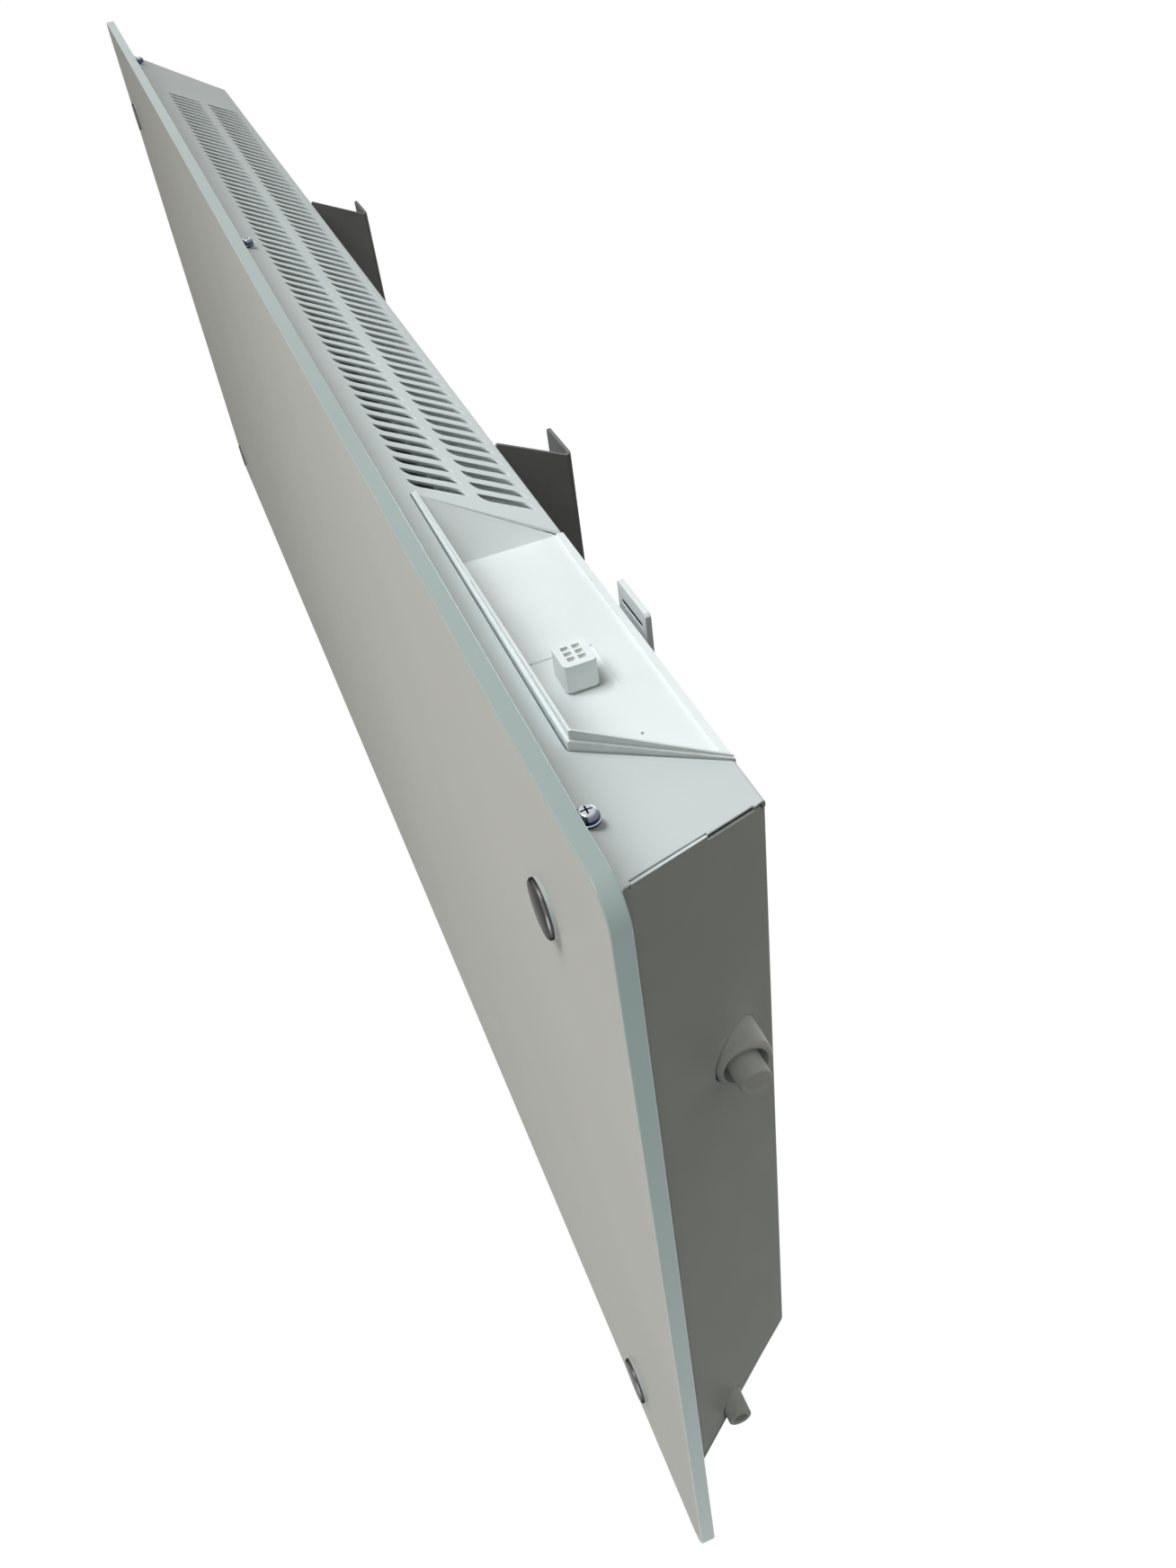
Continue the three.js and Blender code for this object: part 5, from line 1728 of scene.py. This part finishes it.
class Inside:
    """What lies inside the casing and shows only through the slots."""

    def build(self) -> None:
        """Dresses the nodes inside."""
        dress(MILL_ALUMINIUM, "heating_element", "heat_shield")
        dress(ZINC_PLATE, "element_holder_right", "element_holder_left")
        dress(STEATITE, "element_insulator_right", "element_insulator_left")
        dress(NYLON_BLACK, "thermal_cutout", "terminal_block")
        dress(DRAWN_BRASS, "earth_screw")
        dress(LEAD_SHEATH, "lead_supply", "lead_switch", "lead_element")


@dataclass(frozen=True)
class SoftLamp:
    """A square area lamp, with its lengths in metres, its spread in degrees and its power in watts."""

    name: str
    power: float
    size: float
    place: Triple
    aim: Triple = (0.0, 0.0, 0.0)
    spread: float = 180.0

    def hang(self, colour: Triple) -> None:
        """Hangs the lamp.

        Args:
            colour: Its linear colour.
        """
        light = bpy.data.lights.new(self.name, "AREA")
        light.energy, light.size, light.color = self.power, self.size, colour
        light.spread = math.radians(self.spread)
        lamp = link_object(self.name, light)
        lamp.rotation_euler = (Vector(self.place) - Vector(self.aim)).to_track_quat("Z", "Y").to_euler()
        lamp.location = self.place


@dataclass
class Studio:
    """Camera, floor, lamps and world.

    The camera's turn is the axis of its rotation, as long as the angle in radians, and the key lamp's way is
    the direction from the object to it.
    """

    floor_level: float = -620.0
    floor_half: float = 6000.0
    floor_plain: str = "#2e2d2a"
    floor_shadow: str = "#8c8c8c"
    floor_glow: float = 0.92
    sky: float = 0.22
    sky_colour: str = "#fff6e8"
    lamp_colour: str = "#fbfdff"
    key: float = 0.55
    key_angle: float = 35.0
    key_way: Triple = (-0.3, -0.35, 1.0)
    soft_lamps: tuple[SoftLamp, ...] = (
        SoftLamp("wash", 2.4, 0.5, (0.3, -0.42, 0.9), (0.44, -0.05, 0.1), spread=115.0),
        SoftLamp("fill", 2.6, 0.6, (0.75, -0.9, -0.35)),
        SoftLamp("back", 12.0, 1.0, (-1.4, 1.3, -0.35)))
    film: Flat = (27.0, 36.0)
    lens: float = 30.9
    clip: Flat = (0.01, 50.0)
    place: Triple = (634.8, -138.1, 358.0)
    turn: Triple = (2.02493, 1.310117, -0.719494)

    def camera(self) -> None:
        """Sets the camera where the photograph was taken."""
        data = bpy.data.cameras.new("camera")
        data.sensor_fit = "VERTICAL"
        data.sensor_width, data.sensor_height = self.film
        data.lens = self.lens
        data.clip_start, data.clip_end = self.clip
        axis = Vector(self.turn)
        to_camera = Matrix.Rotation(axis.length, 3, axis.normalized())
        rows = Matrix((to_camera[0], -to_camera[1], -to_camera[2])).transposed()
        camera = link_object("camera", data)
        camera.matrix_world = Matrix.Translation(Vector(self.place) * MM) @ rows.to_4x4()
        bpy.context.scene.camera = camera

    def where_seen(self, tree: Tree, light: Node, seen: Node) -> Socket:
        """Mixes two shaders by whether the camera sees the surface, also in a mirror or through glass.

        Args:
            tree: The tree that takes the nodes.
            light: The shader for all other light.
            seen: The shader for what is seen.

        Returns:
            The mixed shader's output.
        """
        path = add_node(tree, "ShaderNodeLightPath").outputs
        both = add_node(tree, "ShaderNodeMath", {"operation": "MAXIMUM"},
                        {0: path["Is Camera Ray"], 1: path["Is Glossy Ray"]})
        share = add_node(tree, "ShaderNodeMath", {"operation": "MAXIMUM"},
                         {0: both.outputs[0], 1: path["Is Transmission Ray"]})
        mix = add_node(tree, "ShaderNodeMixShader", links={
            0: share.outputs[0], 1: light.outputs[0], 2: seen.outputs[0]})
        return mix.outputs[0]

    def world(self) -> None:
        """Makes the world: white where it is seen, and a plain pale sky as a light."""
        world = bpy.data.worlds.new("studio")
        bpy.context.scene.world = world
        tree = empty_tree(world)
        light = add_node(tree, "ShaderNodeBackground", {
            "Color": linear(self.sky_colour), "Strength": self.sky})
        white = add_node(tree, "ShaderNodeBackground", {"Color": (1, 1, 1, 1)})
        add_node(tree, "ShaderNodeOutputWorld", links={"Surface": self.where_seen(tree, light, white)})

    def floor(self) -> None:
        """Makes the pale floor, which keeps the object's shadow."""
        half, level = self.floor_half * MM, self.floor_level * MM
        mesh = bpy.data.meshes.new("floor")
        corners = [(x, y, level) for x, y in rectangle(-half, -half, half, half)]
        mesh.from_pydata(corners, [], [(0, 1, 2, 3)])
        material = bpy.data.materials.new("pale_floor")
        tree = empty_tree(material)
        plain = add_node(tree, "ShaderNodeBsdfDiffuse", {"Color": linear(self.floor_plain)})
        shadow = add_node(tree, "ShaderNodeBsdfDiffuse", {"Color": linear(self.floor_shadow)})
        glow = add_node(tree, "ShaderNodeEmission", {"Color": (1, 1, 1, 1), "Strength": self.floor_glow})
        pale = add_node(tree, "ShaderNodeAddShader", links={0: shadow.outputs[0], 1: glow.outputs[0]})
        add_node(tree, "ShaderNodeOutputMaterial", links={"Surface": self.where_seen(tree, plain, pale)})
        mesh.materials.append(material)
        link_object("floor", mesh)

    def lamps(self) -> None:
        """Hangs a soft key lamp, a wash above the tray, a fill before the glass and one for the rear."""
        colour = linear(self.lamp_colour)[:3]
        sun = bpy.data.lights.new("key", "SUN")
        sun.energy, sun.angle, sun.color = self.key, math.radians(self.key_angle), colour
        key = link_object("key", sun)
        key.rotation_euler = Vector(self.key_way).to_track_quat("Z", "Y").to_euler()
        key.location = self.key_way
        for lamp in self.soft_lamps:
            lamp.hang(colour)

    def build(self) -> None:
        """Sets up the studio."""
        self.camera()
        self.world()
        self.floor()
        self.lamps()
        bpy.context.scene.view_settings.view_transform = "Standard"


def main() -> None:
    """Builds the studio and every sub-assembly."""
    logging.basicConfig(level=logging.INFO, format="%(message)s")
    Studio().build()
    casing = Casing()
    for part in (GlassFront(casing), SlottedTop(casing), CasingShell(casing), ControlBay(),
                 EndFittings(casing), WallBracket(casing), Inside()):
        part.build()


if __name__ == "__main__":
    main()
